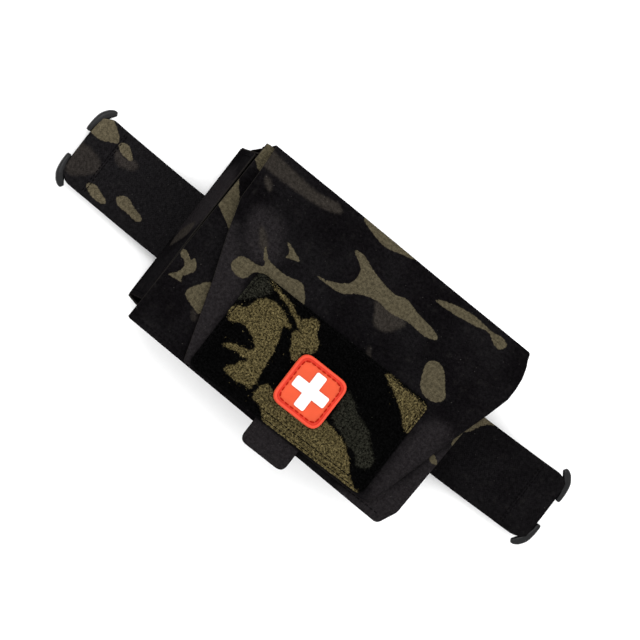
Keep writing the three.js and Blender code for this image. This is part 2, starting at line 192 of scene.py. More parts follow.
def rounded(corners, radius, closed=True, steps=7):
    """The outline, or open line, with each corner made a curve of its radius: one value, or one for each."""
    corners = np.asarray(corners, float)
    radii = np.broadcast_to(radius, len(corners))
    line = []
    for i, here in enumerate(corners):
        if not closed and i in (0, len(corners) - 1):
            line.append(here)
            continue
        before, after = corners[i - 1] - here, corners[(i + 1) % len(corners)] - here
        cosine = np.clip(unit(before) @ unit(after), -0.9999, 0.9999)
        reach = radii[i] / math.tan(math.acos(cosine) / 2)
        reach = min(reach, np.linalg.norm(before) * 0.45, np.linalg.norm(after) * 0.45)
        start, end = here + unit(before) * reach, here + unit(after) * reach
        for t in np.linspace(0, 1, steps):
            line.append((1 - t) ** 2 * start + 2 * t * (1 - t) * here + t * t * end)
    return np.array(line)


def rectangle(low, high, radius=0.0):
    """A counter-clockwise rectangle, with rounded corners if a radius is given."""
    corners = [(low[0], low[1]), (high[0], low[1]), (high[0], high[1]), (low[0], high[1])]
    return rounded(corners, radius) if radius else np.array(corners, float)


def inside(points, loops):
    """True for each point that an odd number of the loops holds."""
    result = np.zeros(len(points), bool)
    x, y = points[:, 0], points[:, 1]
    for loop in loops:
        for (x0, y0), (x1, y1) in zip(loop, np.roll(loop, -1, axis=0)):
            if y0 != y1:
                crossing = (y0 > y) != (y1 > y)
                result ^= crossing & (x < (x1 - x0) * (y - y0) / (y1 - y0) + x0)
    return result


def inset(loop, distance):
    """The loop moved to the left of its direction, which is inwards on a counter-clockwise one."""
    ahead = np.roll(loop, -1, axis=0) - np.roll(loop, 1, axis=0)
    return loop + unit(np.stack([-ahead[:, 1], ahead[:, 0]], axis=1)) * distance


def turned(loop, counter_clockwise):
    """The loop, running the wanted way round."""
    x, y = loop.T
    area = (x * np.roll(y, -1) - y * np.roll(x, -1)).sum()
    return loop if (area > 0) == counter_clockwise else loop[::-1]


def fill(loops, step):
    """Points and triangles that fill the first loop apart from the others, the loops' own points first."""
    edge = np.vstack(loops)
    low, high = edge.min(0), edge.max(0)
    rows = np.arange(low[1], high[1], step * 0.87)
    across = np.arange(low[0], high[0], step)
    grid = np.array([(x + step / 2 * (i % 2), y) for i, y in enumerate(rows) for x in across])
    grid = grid[inside(grid, loops)]
    parts = np.array_split(grid, len(grid) // 2000 + 1)
    room = np.concatenate([np.linalg.norm(part[:, None] - edge, axis=2).min(1) for part in parts])
    points = np.vstack([edge, grid[room > step * 0.6]])
    sides, first = [], 0
    for loop in loops:
        sides += [(first + i, first + (i + 1) % len(loop)) for i in range(len(loop))]
        first += len(loop)
    found = delaunay_2d_cdt([Vector(p) for p in points.tolist()], sides, [], 1, 1e-6)
    # The outcome's points can be in another order: each one is led back to the point that it came from.
    source = [origin[0] if origin else -1 for origin in found[3]]
    triangles = np.array([[source[i] for i in face] for face in found[2]])
    return points, triangles[inside(points[triangles].mean(1), loops)]


def panel(name, outline, place, thickness, material, holes=(), step=2.0, bevel=0.25, camo=None,
          both_sides=False, **settings):
    """A sheet cut to a flat outline, with rounded edges. place() gives the points of its middle surface
    and the normals of its printed side."""
    loops = [turned(resample(outline, step, True), True)]
    loops += [turned(resample(hole, min(step, 1.5), True), False) for hole in holes]
    insets = [inset(loop, bevel) for loop in loops]
    flat, triangles = fill(insets, step)
    rim = np.vstack(loops)
    half = thickness / 2
    middle, normal = place(flat)
    rim_middle, rim_normal = place(rim)
    shoulder = max(half - bevel, half * 0.4)
    points = np.vstack([
        middle + normal * half, middle - normal * half,
        rim_middle + rim_normal * shoulder, rim_middle - rim_normal * shoulder,
    ])
    back, rim_front, rim_back = len(flat), 2 * len(flat), 2 * len(flat) + len(rim)
    faces = triangles.tolist() + (triangles[:, ::-1] + back).tolist()
    first = 0
    for loop in loops:
        here = first + np.arange(len(loop))
        ahead = first + (np.arange(len(loop)) + 1) % len(loop)
        rings = [(here, ahead), (here + rim_front, ahead + rim_front), (here + rim_back, ahead + rim_back),
                 (here + back, ahead + back)]
        for (a, b), (c, d) in zip(rings, rings[1:]):
            faces += np.stack([a, c, d, b], axis=1).tolist()
        first += len(loop)
    # A sheet placed the other way up would be inside out.
    corner = points[triangles[0]]
    if np.cross(corner[1] - corner[0], corner[2] - corner[0]) @ normal[triangles[0, 0]] < 0:
        faces = [face[::-1] for face in faces]
    every = np.vstack([flat, flat, rim, rim])
    edge = np.r_[np.zeros(2 * len(flat)), np.ones(2 * len(rim))]
    attributes = {"flat": np.c_[every, np.zeros(len(every))], "edge": edge}
    printed = np.r_[np.ones(len(flat)), np.full(len(flat), both_sides), np.ones(2 * len(rim))] > 0
    for colour, blotches in (camo or {}).items():
        depth = np.zeros(len(every))
        depth[printed] = blotch_depth(every[printed], blotches)
        attributes[colour] = depth
    return make(name, points, faces, material, **settings, **attributes)


def level(height, ripple=0.0):
    """place() for a sheet that lies flat, printed side up, with a slight ripple."""
    def place(flat):
        x, y = flat.T
        z = height + ripple * wander(flat)
        return np.c_[x, y, z], np.tile((0.0, 0.0, 1.0), (len(flat), 1))
    return place


def wander(flat):
    """A smooth, slow unevenness between about -1 and 1."""
    x, y = flat.T
    waves = np.sin(x / 17.0 + y / 31.0 + 0.7) + np.sin(x / 29.0 - y / 13.0 + 2.1) + np.sin(y / 21.0 + 4.0)
    return waves / 3


def swept(section, axis, printed="right", start=0.0, ripple=0.0):
    """place() for a sheet with one section all along an axis. The flat sheet's first coordinate runs along
    that axis and its second along the section, from start. printed is the side of the section's direction."""
    section = np.asarray(section, float)
    length = start + np.r_[0, np.cumsum(np.linalg.norm(np.diff(section, axis=0), axis=1))]
    ahead = unit(np.gradient(section, axis=0)) * (1 if printed == "right" else -1)

    def place(flat):
        at = flat[:, 1]
        a, b = (np.interp(at, length, column) for column in section.T)
        ahead_a, ahead_b = (np.interp(at, length, column) for column in ahead.T)
        side = unit(np.stack([ahead_b, -ahead_a], axis=1))
        shift = ripple * wander(flat)
        a, b = a + side[:, 0] * shift, b + side[:, 1] * shift
        nothing = np.zeros(len(flat))
        if axis == "X":
            return np.c_[flat[:, 0], a, b], np.c_[nothing, side]
        return np.c_[a, flat[:, 0], b], np.c_[side[:, 0], nothing, side[:, 1]]

    place.end = length[-1]
    place.at = lambda point: length[np.linalg.norm(section - point, axis=1).argmin()]
    return place


def tubes(lines, radius, sides, ups):
    """Closed tubes along many lines at once. lines is (tube, ring, xyz), radius is one for each ring and
    ups one direction for each tube."""
    ahead = unit(np.gradient(lines, axis=1))
    side = unit(np.cross(ahead, ups[:, None]))
    up = np.cross(side, ahead)
    angle = np.linspace(0, 2 * math.pi, sides, endpoint=False)
    reach = np.broadcast_to(radius, lines.shape[1])[None, :, None, None]
    around = np.cos(angle)[:, None] * side[:, :, None] + np.sin(angle)[:, None] * up[:, :, None]
    points = (lines[:, :, None] + reach * around).reshape(-1, 3)
    number, rings = lines.shape[:2]
    index = np.arange(number * rings * sides).reshape(number, rings, sides)
    a, b = index[:, :-1], index[:, 1:]
    walls = np.stack([a, np.roll(a, -1, 2), np.roll(b, -1, 2), b], axis=-1).reshape(-1, 4)
    caps = index[:, 0, ::-1].tolist() + index[:, -1].tolist()
    return points, walls.tolist() + caps


# ------------------------------------------------------------------ materials


def tone(code):
    """A screen colour such as "8a7f5c" as the shader's linear colour."""
    parts = [int(code[i:i + 2], 16) / 255 for i in (0, 2, 4)]
    return tuple(p / 12.92 if p <= 0.04045 else ((p + 0.055) / 1.055) ** 2.4 for p in parts) + (1.0,)


class Shader:
    """A material under construction, around one principled surface, in the cloth's own millimetres."""

    def __init__(self, name, coordinates="flat"):
        self.material = bpy.data.materials.new(name)
        self.material.use_nodes = True
        self.tree = self.material.node_tree
        self.tree.nodes.clear()
        self.surface = self.node("BsdfPrincipled")
        output = self.node("OutputMaterial")
        self.tree.links.new(self.surface.outputs[0], output.inputs["Surface"])
        if coordinates == "flat":
            self.place = self.attribute("flat", "Vector")
        else:
            metres = self.node("TexCoord").outputs["Object"]
            scaled = self.node("VectorMath", {"operation": "SCALE"}, Vector=metres, Scale=1 / MM)
            self.place = scaled.outputs[0]

    def node(self, kind, settings=None, **inputs):
        """A new node with its settings, and its inputs by name."""
        node = self.tree.nodes.new("ShaderNode" + kind)
        for key, value in (settings or {}).items():
            setattr(node, key, value)
        for key, value in inputs.items():
            self.feed(node.inputs[key.replace("_", " ")], value)
        return node

    def feed(self, socket, value):
        """Links an input to another node's output, or sets it to a plain value."""
        if isinstance(value, bpy.types.NodeSocket):
            self.tree.links.new(value, socket)
        else:
            socket.default_value = value

    def attribute(self, name, output="Fac"):
        """What the mesh stores on its points under this name."""
        return self.node("Attribute", {"attribute_name": name}).outputs[output]

    def math(self, operation, a, b=0.0):
        node = self.node("Math", {"operation": operation})
        self.feed(node.inputs[0], a)
        self.feed(node.inputs[1], b)
        return node.outputs[0]

    def noise(self, size, detail=2.0, roughness=0.55):
        """Noise with features of about this size in mm."""
        node = self.node("TexNoise", Vector=self.place, Scale=1 / size, Detail=detail, Roughness=roughness)
        return node.outputs["Fac"]

    def between(self, value, low, high, to_low=0.0, to_high=1.0):
        """A smooth step: to_low where the value is below low, to_high where it is above high."""
        node = self.node("MapRange", {"interpolation_type": "SMOOTHSTEP"}, Value=value)
        for name, amount in (("From Min", low), ("From Max", high), ("To Min", to_low), ("To Max", to_high)):
            self.feed(node.inputs[name], amount)
        return node.outputs[0]

    def mix(self, share, a, b, blend="MIX"):
        """Colour a, with this share of colour b."""
        node = self.node("Mix", {"data_type": "RGBA", "blend_type": blend})
        self.feed(node.inputs[0], share)
        self.feed(node.inputs[6], a)
        self.feed(node.inputs[7], b)
        return node.outputs[2]

    def lit(self, colour, light):
        """The colour made brighter or darker by a plain factor."""
        grey = self.node("CombineColor", Red=light, Green=light, Blue=light).outputs[0]
        return self.mix(1.0, colour, grey, "MULTIPLY")

    def weave(self, pitch):
        """A plain weave's height, from -1 to 1: threads cross over and under each other."""
        parts = self.node("SeparateXYZ", Vector=self.place)
        waves = [self.math("SINE", self.math("MULTIPLY", parts.outputs[i], math.pi / pitch)) for i in (0, 1)]
        return self.math("MULTIPLY", *waves)

    def bump(self, height, depth, under=None):
        """Relief of this depth in mm, on top of another one if it is given."""
        node = self.node("Bump", Height=height, Distance=depth * MM)
        if under is not None:
            self.feed(node.inputs["Normal"], under)
        return node.outputs[0]

    def done(self, colour, normal, roughness, specular):
        """Sets the surface and gives the finished material."""
        self.feed(self.surface.inputs["Base Color"], colour)
        self.feed(self.surface.inputs["Normal"], normal)
        self.feed(self.surface.inputs["Roughness"], roughness)
        self.surface.inputs["Specular IOR Level"].default_value = specular
        return self.material


FAR_FROM_BLOTCH = 9.0  # the depth given to a blotch's edge: less is outside it, more is inside


def blotch_cover(shader, name, ragged, soft):
    """How much of the printed colour shows, with an outline that noise makes ragged."""
    depth = shader.math("SUBTRACT", shader.attribute(name), FAR_FROM_BLOTCH)
    wobble = shader.math("MULTIPLY", shader.math("SUBTRACT", shader.noise(ragged * 2, 3.0), 0.5), ragged * 2)
    return shader.between(shader.math("ADD", depth, wobble), -soft, soft)


def printed_cloth(name, pitch, relief, colours, cut_edge):
    """Camouflage-printed woven cloth. Its cut edge is paler than its face."""
    dark, darker, olive, grey, charcoal = colours
    shader = Shader(name)
    weave = shader.weave(pitch)
    grain = shader.noise(0.55, 2.0, 0.7)
    mottle = shader.noise(1.9, 3.0, 0.75)
    colour = shader.mix(shader.between(shader.noise(34.0), 0.35, 0.65), tone(darker), tone(dark))
    # The charcoal blotches are paler patches. On the strap's left end and along the flap's left margin they
    # are painted light, not print.
    colour = shader.mix(blotch_cover(shader, "charcoal", 3.0, 5.0), colour, tone(charcoal))
    colour = shader.mix(blotch_cover(shader, "grey", 1.3, 1.4), colour, tone(grey))
    colour = shader.mix(blotch_cover(shader, "olive", 0.8, 0.25), colour, tone(olive))
    # Painted highlight and shade on the weave: where the grain and the threads stand up in the bump, the
    # cloth is painted lighter, and darker in the hollows. The mottle is the cloth's own uneven tone.
    light = shader.between(grain, 0.25, 0.75, 0.6, 1.35)
    light = shader.math("ADD", light, shader.math("MULTIPLY", weave, 0.15))
    light = shader.math("MULTIPLY", light, shader.between(mottle, 0.3, 0.7, 0.62, 1.4))
    worn = shader.between(shader.noise(5.0, 5.0, 0.7), 0.5, 0.85, 0.0, 0.02)
    colour = shader.lit(colour, light)
    colour = shader.mix(worn, colour, tone("8c8880"))
    lint = shader.between(shader.noise(1.3, 1.0), 0.74, 0.8, 0.0, 0.06)
    colour = shader.mix(lint, colour, tone("a8a49c"))
    cut = shader.math("MULTIPLY", shader.between(shader.attribute("edge"), 0.3, 0.9), 0.75)
    colour = shader.mix(cut, colour, shader.mix(shader.noise(1.5), tone(cut_edge[0]), tone(cut_edge[1])))
    creases = shader.bump(shader.noise(14.0, 3.0), 0.25)
    normal = shader.bump(shader.math("ADD", shader.math("MULTIPLY", weave, 0.5), grain), relief, creases)
    return shader.done(colour, normal, shader.between(grain, 0.2, 0.8, 0.7, 0.88), 0.0)


def webbing(name, dark, light, rib=1.6, relief=0.18):
    """Narrow woven strapping with ribs across it and a herringbone of fine yarns."""
    shader = Shader(name)
    parts = shader.node("SeparateXYZ", Vector=shader.place)
    across, along = parts.outputs[0], parts.outputs[1]
    zigzag = shader.math("PINGPONG", across, 2.4)
    slanted = shader.math("ADD", along, zigzag)
    yarn = shader.math("SINE", shader.math("MULTIPLY", slanted, 2 * math.pi / rib))
    fibre = shader.noise(0.35, 2.0, 0.7)
    height = shader.math("ADD", shader.math("MULTIPLY", yarn, 0.5), fibre)
    # Painted highlight and shade: the yarns' raised crowns, where the bump is highest, are painted lighter
    # and the hollows between them darker.
    colour = shader.mix(shader.between(height, 0.0, 1.2), tone(dark), tone(light))
    colour = shader.mix(shader.between(shader.noise(8.0, 3.0), 0.5, 0.8, 0.0, 0.08), colour, tone("8c8880"))
    normal = shader.bump(height, relief)
    return shader.done(colour, normal, 0.8, 0.08)


def loop_pile(name):
    """Brushed nylon loops, printed with the same pattern as the cloth but blurred by the pile."""
    shader = Shader(name)
    tuft = shader.noise(1.1, 4.0, 0.75)
    fine = shader.noise(0.4, 2.0, 0.8)
    colour = tone("060606")
    colour = shader.mix(blotch_cover(shader, "grey", 1.8, 0.9), colour, tone("25251f"))
    gold = shader.mix(shader.noise(2.2, 2.0), tone("423a22"), tone("675d3f"))
    colour = shader.mix(blotch_cover(shader, "olive", 1.6, 0.5), colour, gold)
    # Painted shade: where the tufts and fibres are low in the bump the pile is painted darker, nearly black
    # between tufts, and lighter on their tops. The curls' shade value is random tone.
    light = shader.math("MULTIPLY", shader.between(tuft, 0.38, 0.6, 0.05, 1.5),
                        shader.between(fine, 0.3, 0.7, 0.6, 1.3))
    light = shader.math("MULTIPLY", light, shader.math("ADD", shader.attribute("shade"), 1.0))
    colour = shader.lit(colour, light)
    normal = shader.bump(shader.math("ADD", tuft, fine), 0.6)
    return shader.done(colour, normal, 0.95, 0.01)


def hook_tape(name):
    """A field of moulded hooks in rows."""
    shader = Shader(name)
    hooks = shader.node("TexVoronoi", Vector=shader.place, Scale=1.0, Randomness=0.35).outputs["Distance"]
    height = shader.between(hooks, 0.15, 0.45, 1.0, 0.0)
    # Painted highlight: the hooks, which stand up in the bump, are painted lighter than the tape between
    # them.
    colour = shader.mix(height, tone("070708"), tone("19191b"))
    return shader.done(colour, shader.bump(height, 0.5), 0.55, 0.3)


def elastic(name):
    """Ribbed elastic, with its rubber cores along it."""
    shader = Shader(name)
    across = shader.node("SeparateXYZ", Vector=shader.place).outputs[0]
    rib = shader.math("SINE", shader.math("MULTIPLY", across, 2 * math.pi / 1.5))
    knit = shader.noise(0.5, 2.0)
    height = shader.math("ADD", rib, knit)
    # Painted highlight and shade: the raised ribs are painted lighter and the grooves between them darker.
    colour = shader.mix(shader.between(height, -0.5, 1.5), tone("070708"), tone("151517"))
    return shader.done(colour, shader.bump(height, 0.25), 0.85, 0.08)


def moulded(name, colour, roughness, specular):
    """Moulded plastic or rubber: fine spark-eroded texture, faint flow marks and rubbed patches."""
    shader = Shader(name, "object")
    flow = shader.noise(12.0, 3.0)
    texture = shader.noise(0.5, 3.0, 0.7)
    bright = shader.mix(1.0, tone(colour), (1.25, 1.25, 1.25, 1.0), "MULTIPLY")
    shade = shader.mix(shader.between(flow, 0.35, 0.75, 0.0, 0.5), tone(colour), bright)
    rough = shader.math("ADD", shader.between(flow, 0.3, 0.7, roughness - 0.08, roughness + 0.05),
                        shader.between(texture, 0.2, 0.8, -0.04, 0.04))
    return shader.done(shade, shader.bump(texture, 0.05), rough, specular)


def foam(name):
    """Closed-cell foam board."""
    shader = Shader(name)
    cells = shader.node("TexVoronoi", Vector=shader.place, Scale=1.4).outputs["Distance"]
    # Painted shade: each cell's hollow is painted darker and its raised rim lighter, following the bump.
    colour = shader.mix(shader.between(cells, 0.1, 0.7), tone("0b0b0c"), tone("18181a"))
    return shader.done(colour, shader.bump(cells, 0.15), 0.9, 0.15)


def thread(name, dark, light):
    """Twisted sewing thread."""
    shader = Shader(name, "object")
    twist = shader.noise(0.3, 2.0, 0.7)
    # Painted highlight: the twist's raised strands are painted lighter, following the bump.
    colour = shader.mix(shader.between(twist, 0.3, 0.7), tone(dark), tone(light))
    return shader.done(colour, shader.bump(twist, 0.08), 0.8, 0.0)


def floor_paper():
    """Plain white studio paper."""
    shader = Shader("studio_paper", "object")
    fibre = shader.noise(3.0, 3.0)
    colour = shader.mix(shader.between(fibre, 0.3, 0.7, 0.0, 0.3), tone("fafafa"), tone("f6f6f6"))
    return shader.done(colour, shader.bump(fibre, 0.01), 0.9, 0.1)


# ------------------------------------------------------------------ printed pattern


def blotch_depth(points, blotches):
    """How deep each flat point lies in the nearest blotch, plus FAR_FROM_BLOTCH, or 0 if far outside."""
    best = np.zeros(len(points))
    for corners in blotches:
        edge = smooth_line(corners, 1.2, closed=True)
        low, high = edge.min(0) - FAR_FROM_BLOTCH, edge.max(0) + FAR_FROM_BLOTCH
        near = np.all((points > low) & (points < high), axis=1)
        if not near.any():
            continue
        here = points[near]
        side = np.roll(edge, -1, axis=0) - edge
        away = here[:, None] - edge
        share = np.clip((away * side).sum(2) / (side * side).sum(1), 0, 1)
        distance = np.linalg.norm(away - share[..., None] * side, axis=2).min(1)
        distance[inside(here, [edge])] *= -1
        best[near] = np.maximum(best[near], FAR_FROM_BLOTCH - distance)
    return best


def scattered(low, high, count, seed, size=(9.0, 22.0)):
    """Leaf-like blotches at random over a rectangle, for cloth whose print is its own."""
    random = np.random.default_rng(seed)
    blotches = []
    for _ in range(count):
        centre = random.uniform(low, high)
        long = random.uniform(*size)
        lean = random.uniform(-0.5, 0.5)
        bow = random.uniform(-0.3, 0.3) * long
        width = long * random.uniform(0.16, 0.3)
        along = np.array([math.cos(lean), math.sin(lean)])
        across = np.array([-math.sin(lean), math.cos(lean)])
        outline = []
        for share, side in ((-1, 0), (-0.5, 1), (0.2, 1.1), (1, 0.1), (0.3, -0.9), (-0.4, -0.8)):
            bend = bow * (1 - share * share)
            outline.append(centre + along * share * long / 2 + across * (side * width / 2 + bend))
        blotches.append(outline)
    return blotches


# The camouflage print, and some paler patches that are painted light, as the corners of their blotches: X,
# and Y along the cloth, on each flat sheet.
# The field's are in the flap's coordinates. The strap's X runs along it and its Y across it.

FLAP_OLIVE = [
    [(-32, 20.8), (-22, 23), (-12, 29), (-10.5, 36), (-13, 41), (-21, 46), (-14, 47), (-3, 43), (12, 40.5),
     (20, 42.8), (30, 40.3), (43, 38.3), (48, 35.5), (42, 32.3), (28, 32.5), (17, 30.5), (6, 31), (-4, 27.5),
     (-12, 22), (-22, 21)],
    [(-55, 26.5), (-47, 24), (-41.5, 21.5), (-48, 18.8), (-50.5, 17.5), (-49, 21.5)],
    [(33.5, 53.4), (44, 58.6), (58, 61), (70, 60.2), (78, 61.4), (82.5, 59.1), (80, 54.6), (75, 55.4),
     (69, 58.6), (60, 56.4), (47, 54)],
    [(51.5, 21), (56, 25.3), (62, 24), (69, 16.5), (73, 11.5), (70, 7), (63.5, 5.8), (57, 9)],
    [(-62, 16.5), (-55, 11.3), (-43, 10.6), (-34, 12.8), (-29, 10.5), (-24, 2.6), (-36, 2.4), (-50, 2.6),
     (-57.5, 1.5), (-59.5, -4.5), (-65, -6.6), (-71, -3.5), (-69, 3.8), (-60, 5.2), (-55.5, 7.2), (-60, 12)],
    [(-27, 65), (-19, 60.8), (-8, 59.0), (1, 61.4), (9, 64), (17, 70), (4, 76), (-14, 74)],
    [(-80, 78), (-66, 74), (-50, 80), (-58, 88), (-74, 86)],
    [(38, 82), (56, 76), (76, 79), (70, 86), (52, 90)],
]
FLAP_GREY = [
    [(-95, 60.3), (-74, 59.4), (-58, 58.6), (-44, 61), (-39.5, 58), (-46, 54.5), (-62, 51.8), (-95, 51.2)],
    [(7, 31), (24, 32.5), (28, 29.5), (23.5, 22), (18, 19.2), (13, 20.5), (9.5, 26)],
    [(-87, 47), (-82, 46.5), (-79.5, 42), (-83.5, 42.8)],
    [(-72, 24), (-66, 21.5), (-60, 16), (-63, 13.5), (-68, 18)],
    [(19.5, 8.5), (22, 6.8), (25.5, 2.5), (22, 4)],
]
# Paler patches. The two along the flap's left margin are painted light: they make the flap's left side paler,
# as if lit from the left. The one at the right edge is paler too.
FLAP_CHARCOAL_AND_PAINTED_LIGHT = [
    [(-86, 14), (-70, 4), (-58, -12), (-55, -62), (-62, -66), (-74, -30), (-82, -8)],
    [(72.5, -7), (79.5, -0.5), (89, -5), (80, -48), (75, -62), (71, -40)],
    [(-80, 30), (-62, 32), (-52, 12), (-70, 8)],
]
FRONT_OLIVE = [
    [(-99, 66), (-88, 66), (-87, 50), (-91, 47.5), (-95, 50.5), (-99, 52)],
    [(-99, 38), (-92, 31.3), (-88.5, 27), (-84.5, 17), (-81.5, 10.5), (-88, 14), (-95, 17.5), (-99, 21)],
    [(-97, -12.6), (-92.4, -14), (-90.1, -16), (-88.4, -13.4), (-84.2, -18), (-86, -22.6), (-88.4, -26),
     (-85.8, -28.4), (-90.5, -29), (-96, -30), (-92, -25.6), (-90.6, -21.1), (-92.3, -18.1), (-96.4, -16.7)],
    [(-73, -18.2), (-70.5, -25), (-67, -36), (-74, -35.2), (-79.8, -33), (-81.2, -30), (-78.5, -24.5)],
    [(86, -17.4), (89, -16.6), (94, -20.2), (90, -21.5)],
    [(92.5, -5), (96, -6), (97, 4), (93.6, 2)],
    [(94, 7), (99, 10), (99, 19), (96, 14)],
]
FRONT_GREY = [[(-72, -36.5), (-68.5, -37), (-66.5, -41.5), (-69.5, -40.5)]]
FRONT_CHARCOAL = [[(58, -70), (66, -56), (84, -40), (90, -10), (104, -16), (100, -70)]]
FIELD_OLIVE = [
    [(-46.5, -9), (-40, -4.8), (-33, -5.2), (-26.5, -8.2), (-21, -10.8), (-26, -12.5), (-24, -18), (-22, -25),
     (-20.8, -34), (-19.3, -43), (-19, -51), (-23, -52.5), (-28, -53.3), (-33.5, -53), (-38.5, -51.3),
     (-34.8, -46.5), (-32.5, -42.5), (-30, -40), (-38, -40.2), (-46.8, -42), (-44, -38.3), (-36, -36),
     (-31, -33.5), (-33.5, -30), (-40, -26.5), (-47, -26.3), (-52.3, -28.8), (-56.3, -25), (-55, -20),
     (-49, -16.5)],
    [(-15, 1.5), (-10.5, 1), (-8, -4.5), (-4, -7.5), (-2.4, -12), (-4, -16), (-7.5, -18), (-9, -24.8),
     (-14, -21), (-18.5, -14), (-20.5, -11), (-15.5, -9.5), (-20, -4)],
    [(-49, 3.4), (-42, 2.6), (-34, 1.2), (-28, -0.5), (-20, -4.4), (-17, -8.8), (-24, -5.2), (-33, -1.6),
     (-42, 0.5)],
    [(-13, -43.5), (-8, -44.5), (6, -46), (20, -41), (30, -40.4), (40, -42.2), (48, -46.5), (54.5, -53.5),
     (60, -58), (68, -61), (50, -62.5), (20, -62.3), (0, -62.5), (-4.5, -59.5), (-9, -56), (-15, -55),
     (-16, -50), (-15, -46)],
    [(36, 2.8), (45, 3.2), (52, 2.4), (60, 2.8), (68, 1.5), (71, -4), (69.5, -11), (67.8, -17.5), (64, -15.4),
     (60, -11.7), (54.4, -7.5), (48, -4), (41.6, -0.5)],
]
FIELD_GREY = [
    [(-57.5, -15), (-57, -1), (-52, 3), (-45, 1.5), (-44, -4), (-48.5, -9), (-53, -15)],
    [(26, -19), (33, -21.5), (39, -26), (47, -28), (52.5, -32), (57, -36), (62, -40.5), (62, -46),
     (56.5, -48.5), (50, -44), (43, -42), (34, -38.5), (27, -36), (27, -30)],
]
STRAP_OLIVE = [
    [(-154.6, 13.5), (-150, 15.6), (-146, 13.8), (-142.5, 10), (-147, 9.2), (-152.5, 10.5)],
    [(-155.8, -16), (-151, -13.5), (-146.5, -14.6), (-140, -17), (-142, -19.6), (-149, -19.8), (-153.5, -18)],
    [(-137, -11.2), (-134.3, -8), (-130, -7.4), (-125.5, -9.2), (-119, -10.6), (-117.3, -12.5), (-120, -14.6),
     (-127, -14.2), (-133.5, -14.2)],
    [(-176, 14), (-172, 18.6), (-167.5, 20.6), (-162, 19), (-156.2, 15), (-155.5, 12.3), (-160, 10),
     (-165, 7.6), (-170.5, 7.2), (-176, 9)],
    [(90, 30), (122, 26), (113, 18), (107.5, 9), (101, 5), (92, 8)],
]
STRAP_GREY = [
    [(-153, 10), (-147, 9), (-141.5, 11), (-137.3, 9.5), (-140, 5.6), (-147, 3.4), (-152.5, 6)],
    [(-175, -2), (-169, 0), (-162.5, 0), (-157, -2), (-154.5, -6), (-157.2, -11), (-163, -16),
     (-168.5, -18.5), (-175, -13)],
]


# ------------------------------------------------------------------ sewing and pile


def stitches(name, place, runs, lift, material, pitch=3.2, long=2.4, radius=0.26, **settings):
    """Sewn thread along lines drawn on the flat sheet. lift is from the sheet's middle to its surface."""
    lines, ups = [], []
    for run in runs:
        path = resample(run, pitch)
        for a, b in zip(path[:-1], path[1:]):
            flat = (a + b) / 2 + (b - a) / 2 * long / pitch * np.linspace(-1, 1, 5)[:, None]
            points, normals = place(flat)
            arch = lift + radius * np.array([-0.9, 0.3, 0.55, 0.3, -0.9])
            lines.append(points + normals * arch[:, None])
            ups.append(normals[2])
    points, faces = tubes(np.array(lines), radius * np.array([0.7, 1, 1, 1, 0.7]), 6, np.array(ups))
    return make(name, points, faces, material, **settings)


def curls(name, place, outline, count, lift, material, seed, camo, **settings):
    """The pile of a loop field: small arched filaments, rooted at random in the cloth."""
    rings, sides, radius = 5, 3, 0.11
    random = np.random.default_rng(seed)
    outline = np.asarray(outline)
    roots = random.uniform(outline.min(0), outline.max(0), (count, 2))
    roots = roots[inside(roots, [outline])]
    middle, normal = place(roots)
    turn = random.uniform(0, 2 * math.pi, len(roots))
    lean = random.normal(0, 0.25, (len(roots), 2))
    direction = np.c_[np.cos(turn), np.sin(turn), np.zeros(len(roots))]
    wide = random.uniform(0.5, 1.1, len(roots))[:, None]
    tall = random.uniform(0.5, 1.15, len(roots))[:, None]
    tilt = np.c_[lean, np.zeros(len(roots))]
    lines = []
    for angle in np.linspace(0, math.pi, rings):
        rise = math.sin(angle) * tall
        out = direction * math.cos(angle) * wide / 2
        lines.append(middle + out + normal * (lift - 0.2 + rise) + tilt * rise)
    ups = np.cross(direction, normal)
    points, faces = tubes(np.stack(lines, axis=1), np.full(rings, radius), sides, ups)
    per_point = rings * sides
    flat = np.repeat(roots + random.normal(0, 0.4, roots.shape), per_point, axis=0)
    shade = np.repeat(random.uniform(-0.9, 1.15, len(roots)), per_point)
    attributes = {"flat": np.c_[flat, np.zeros(len(flat))], "shade": shade}
    # A few filaments carry their colour well past its edge, which frays the print.
    stray = np.where(random.random((len(roots), 1)) < 0.14, 2.4, 0.55)
    for colour, blotches in camo.items():
        ragged = roots + random.normal(0, 1, roots.shape) * stray
        attributes[colour] = np.repeat(blotch_depth(ragged, blotches), per_point)
    return make(name, points, faces, material, **settings, **attributes)


# ------------------------------------------------------------------ sleeve

CLOTH = 1.2  # the laminate's thickness
FOLD_LEAN = 2.6  # how much nearer the sleeve the flap's fold is at the right end
LOWER_FOLD_Y = -50.0  # where the back turns up into the lower wall
SLOT_X = (-78.0, 0.0, 78.0)  # the webbing slots in the back
SLOT_Y = (-19.0, 19.0)
SLOT_HALF = np.array((13.5, 1.6))
FRONT_CORNERS = [(-98.4, -62.2), (86.8, -67.2), (92.4, -55.2), (96.6, 59.8), (-95.8, 62.6)]
TAB_RELIEF = [(-4.8, -64.7), (-3.4, -63.0), (23.4, -63.0), (24.8, -65.5)]  # a shallow cut that the tab hides
FRONT_RADII = [0.6, 0.3, 0.6, 0.6, 0.3, 4.0, 1.0, 2.0, 0.6]


def slot_holes(shift):
    """The slots' outlines, when the back's middle line lies at shift along the flat sheet."""
    centres = [np.array((x, y + shift)) for x in SLOT_X for y in SLOT_Y]
    return [rectangle(centre - SLOT_HALF, centre + SLOT_HALF, 1.2) for centre in centres]


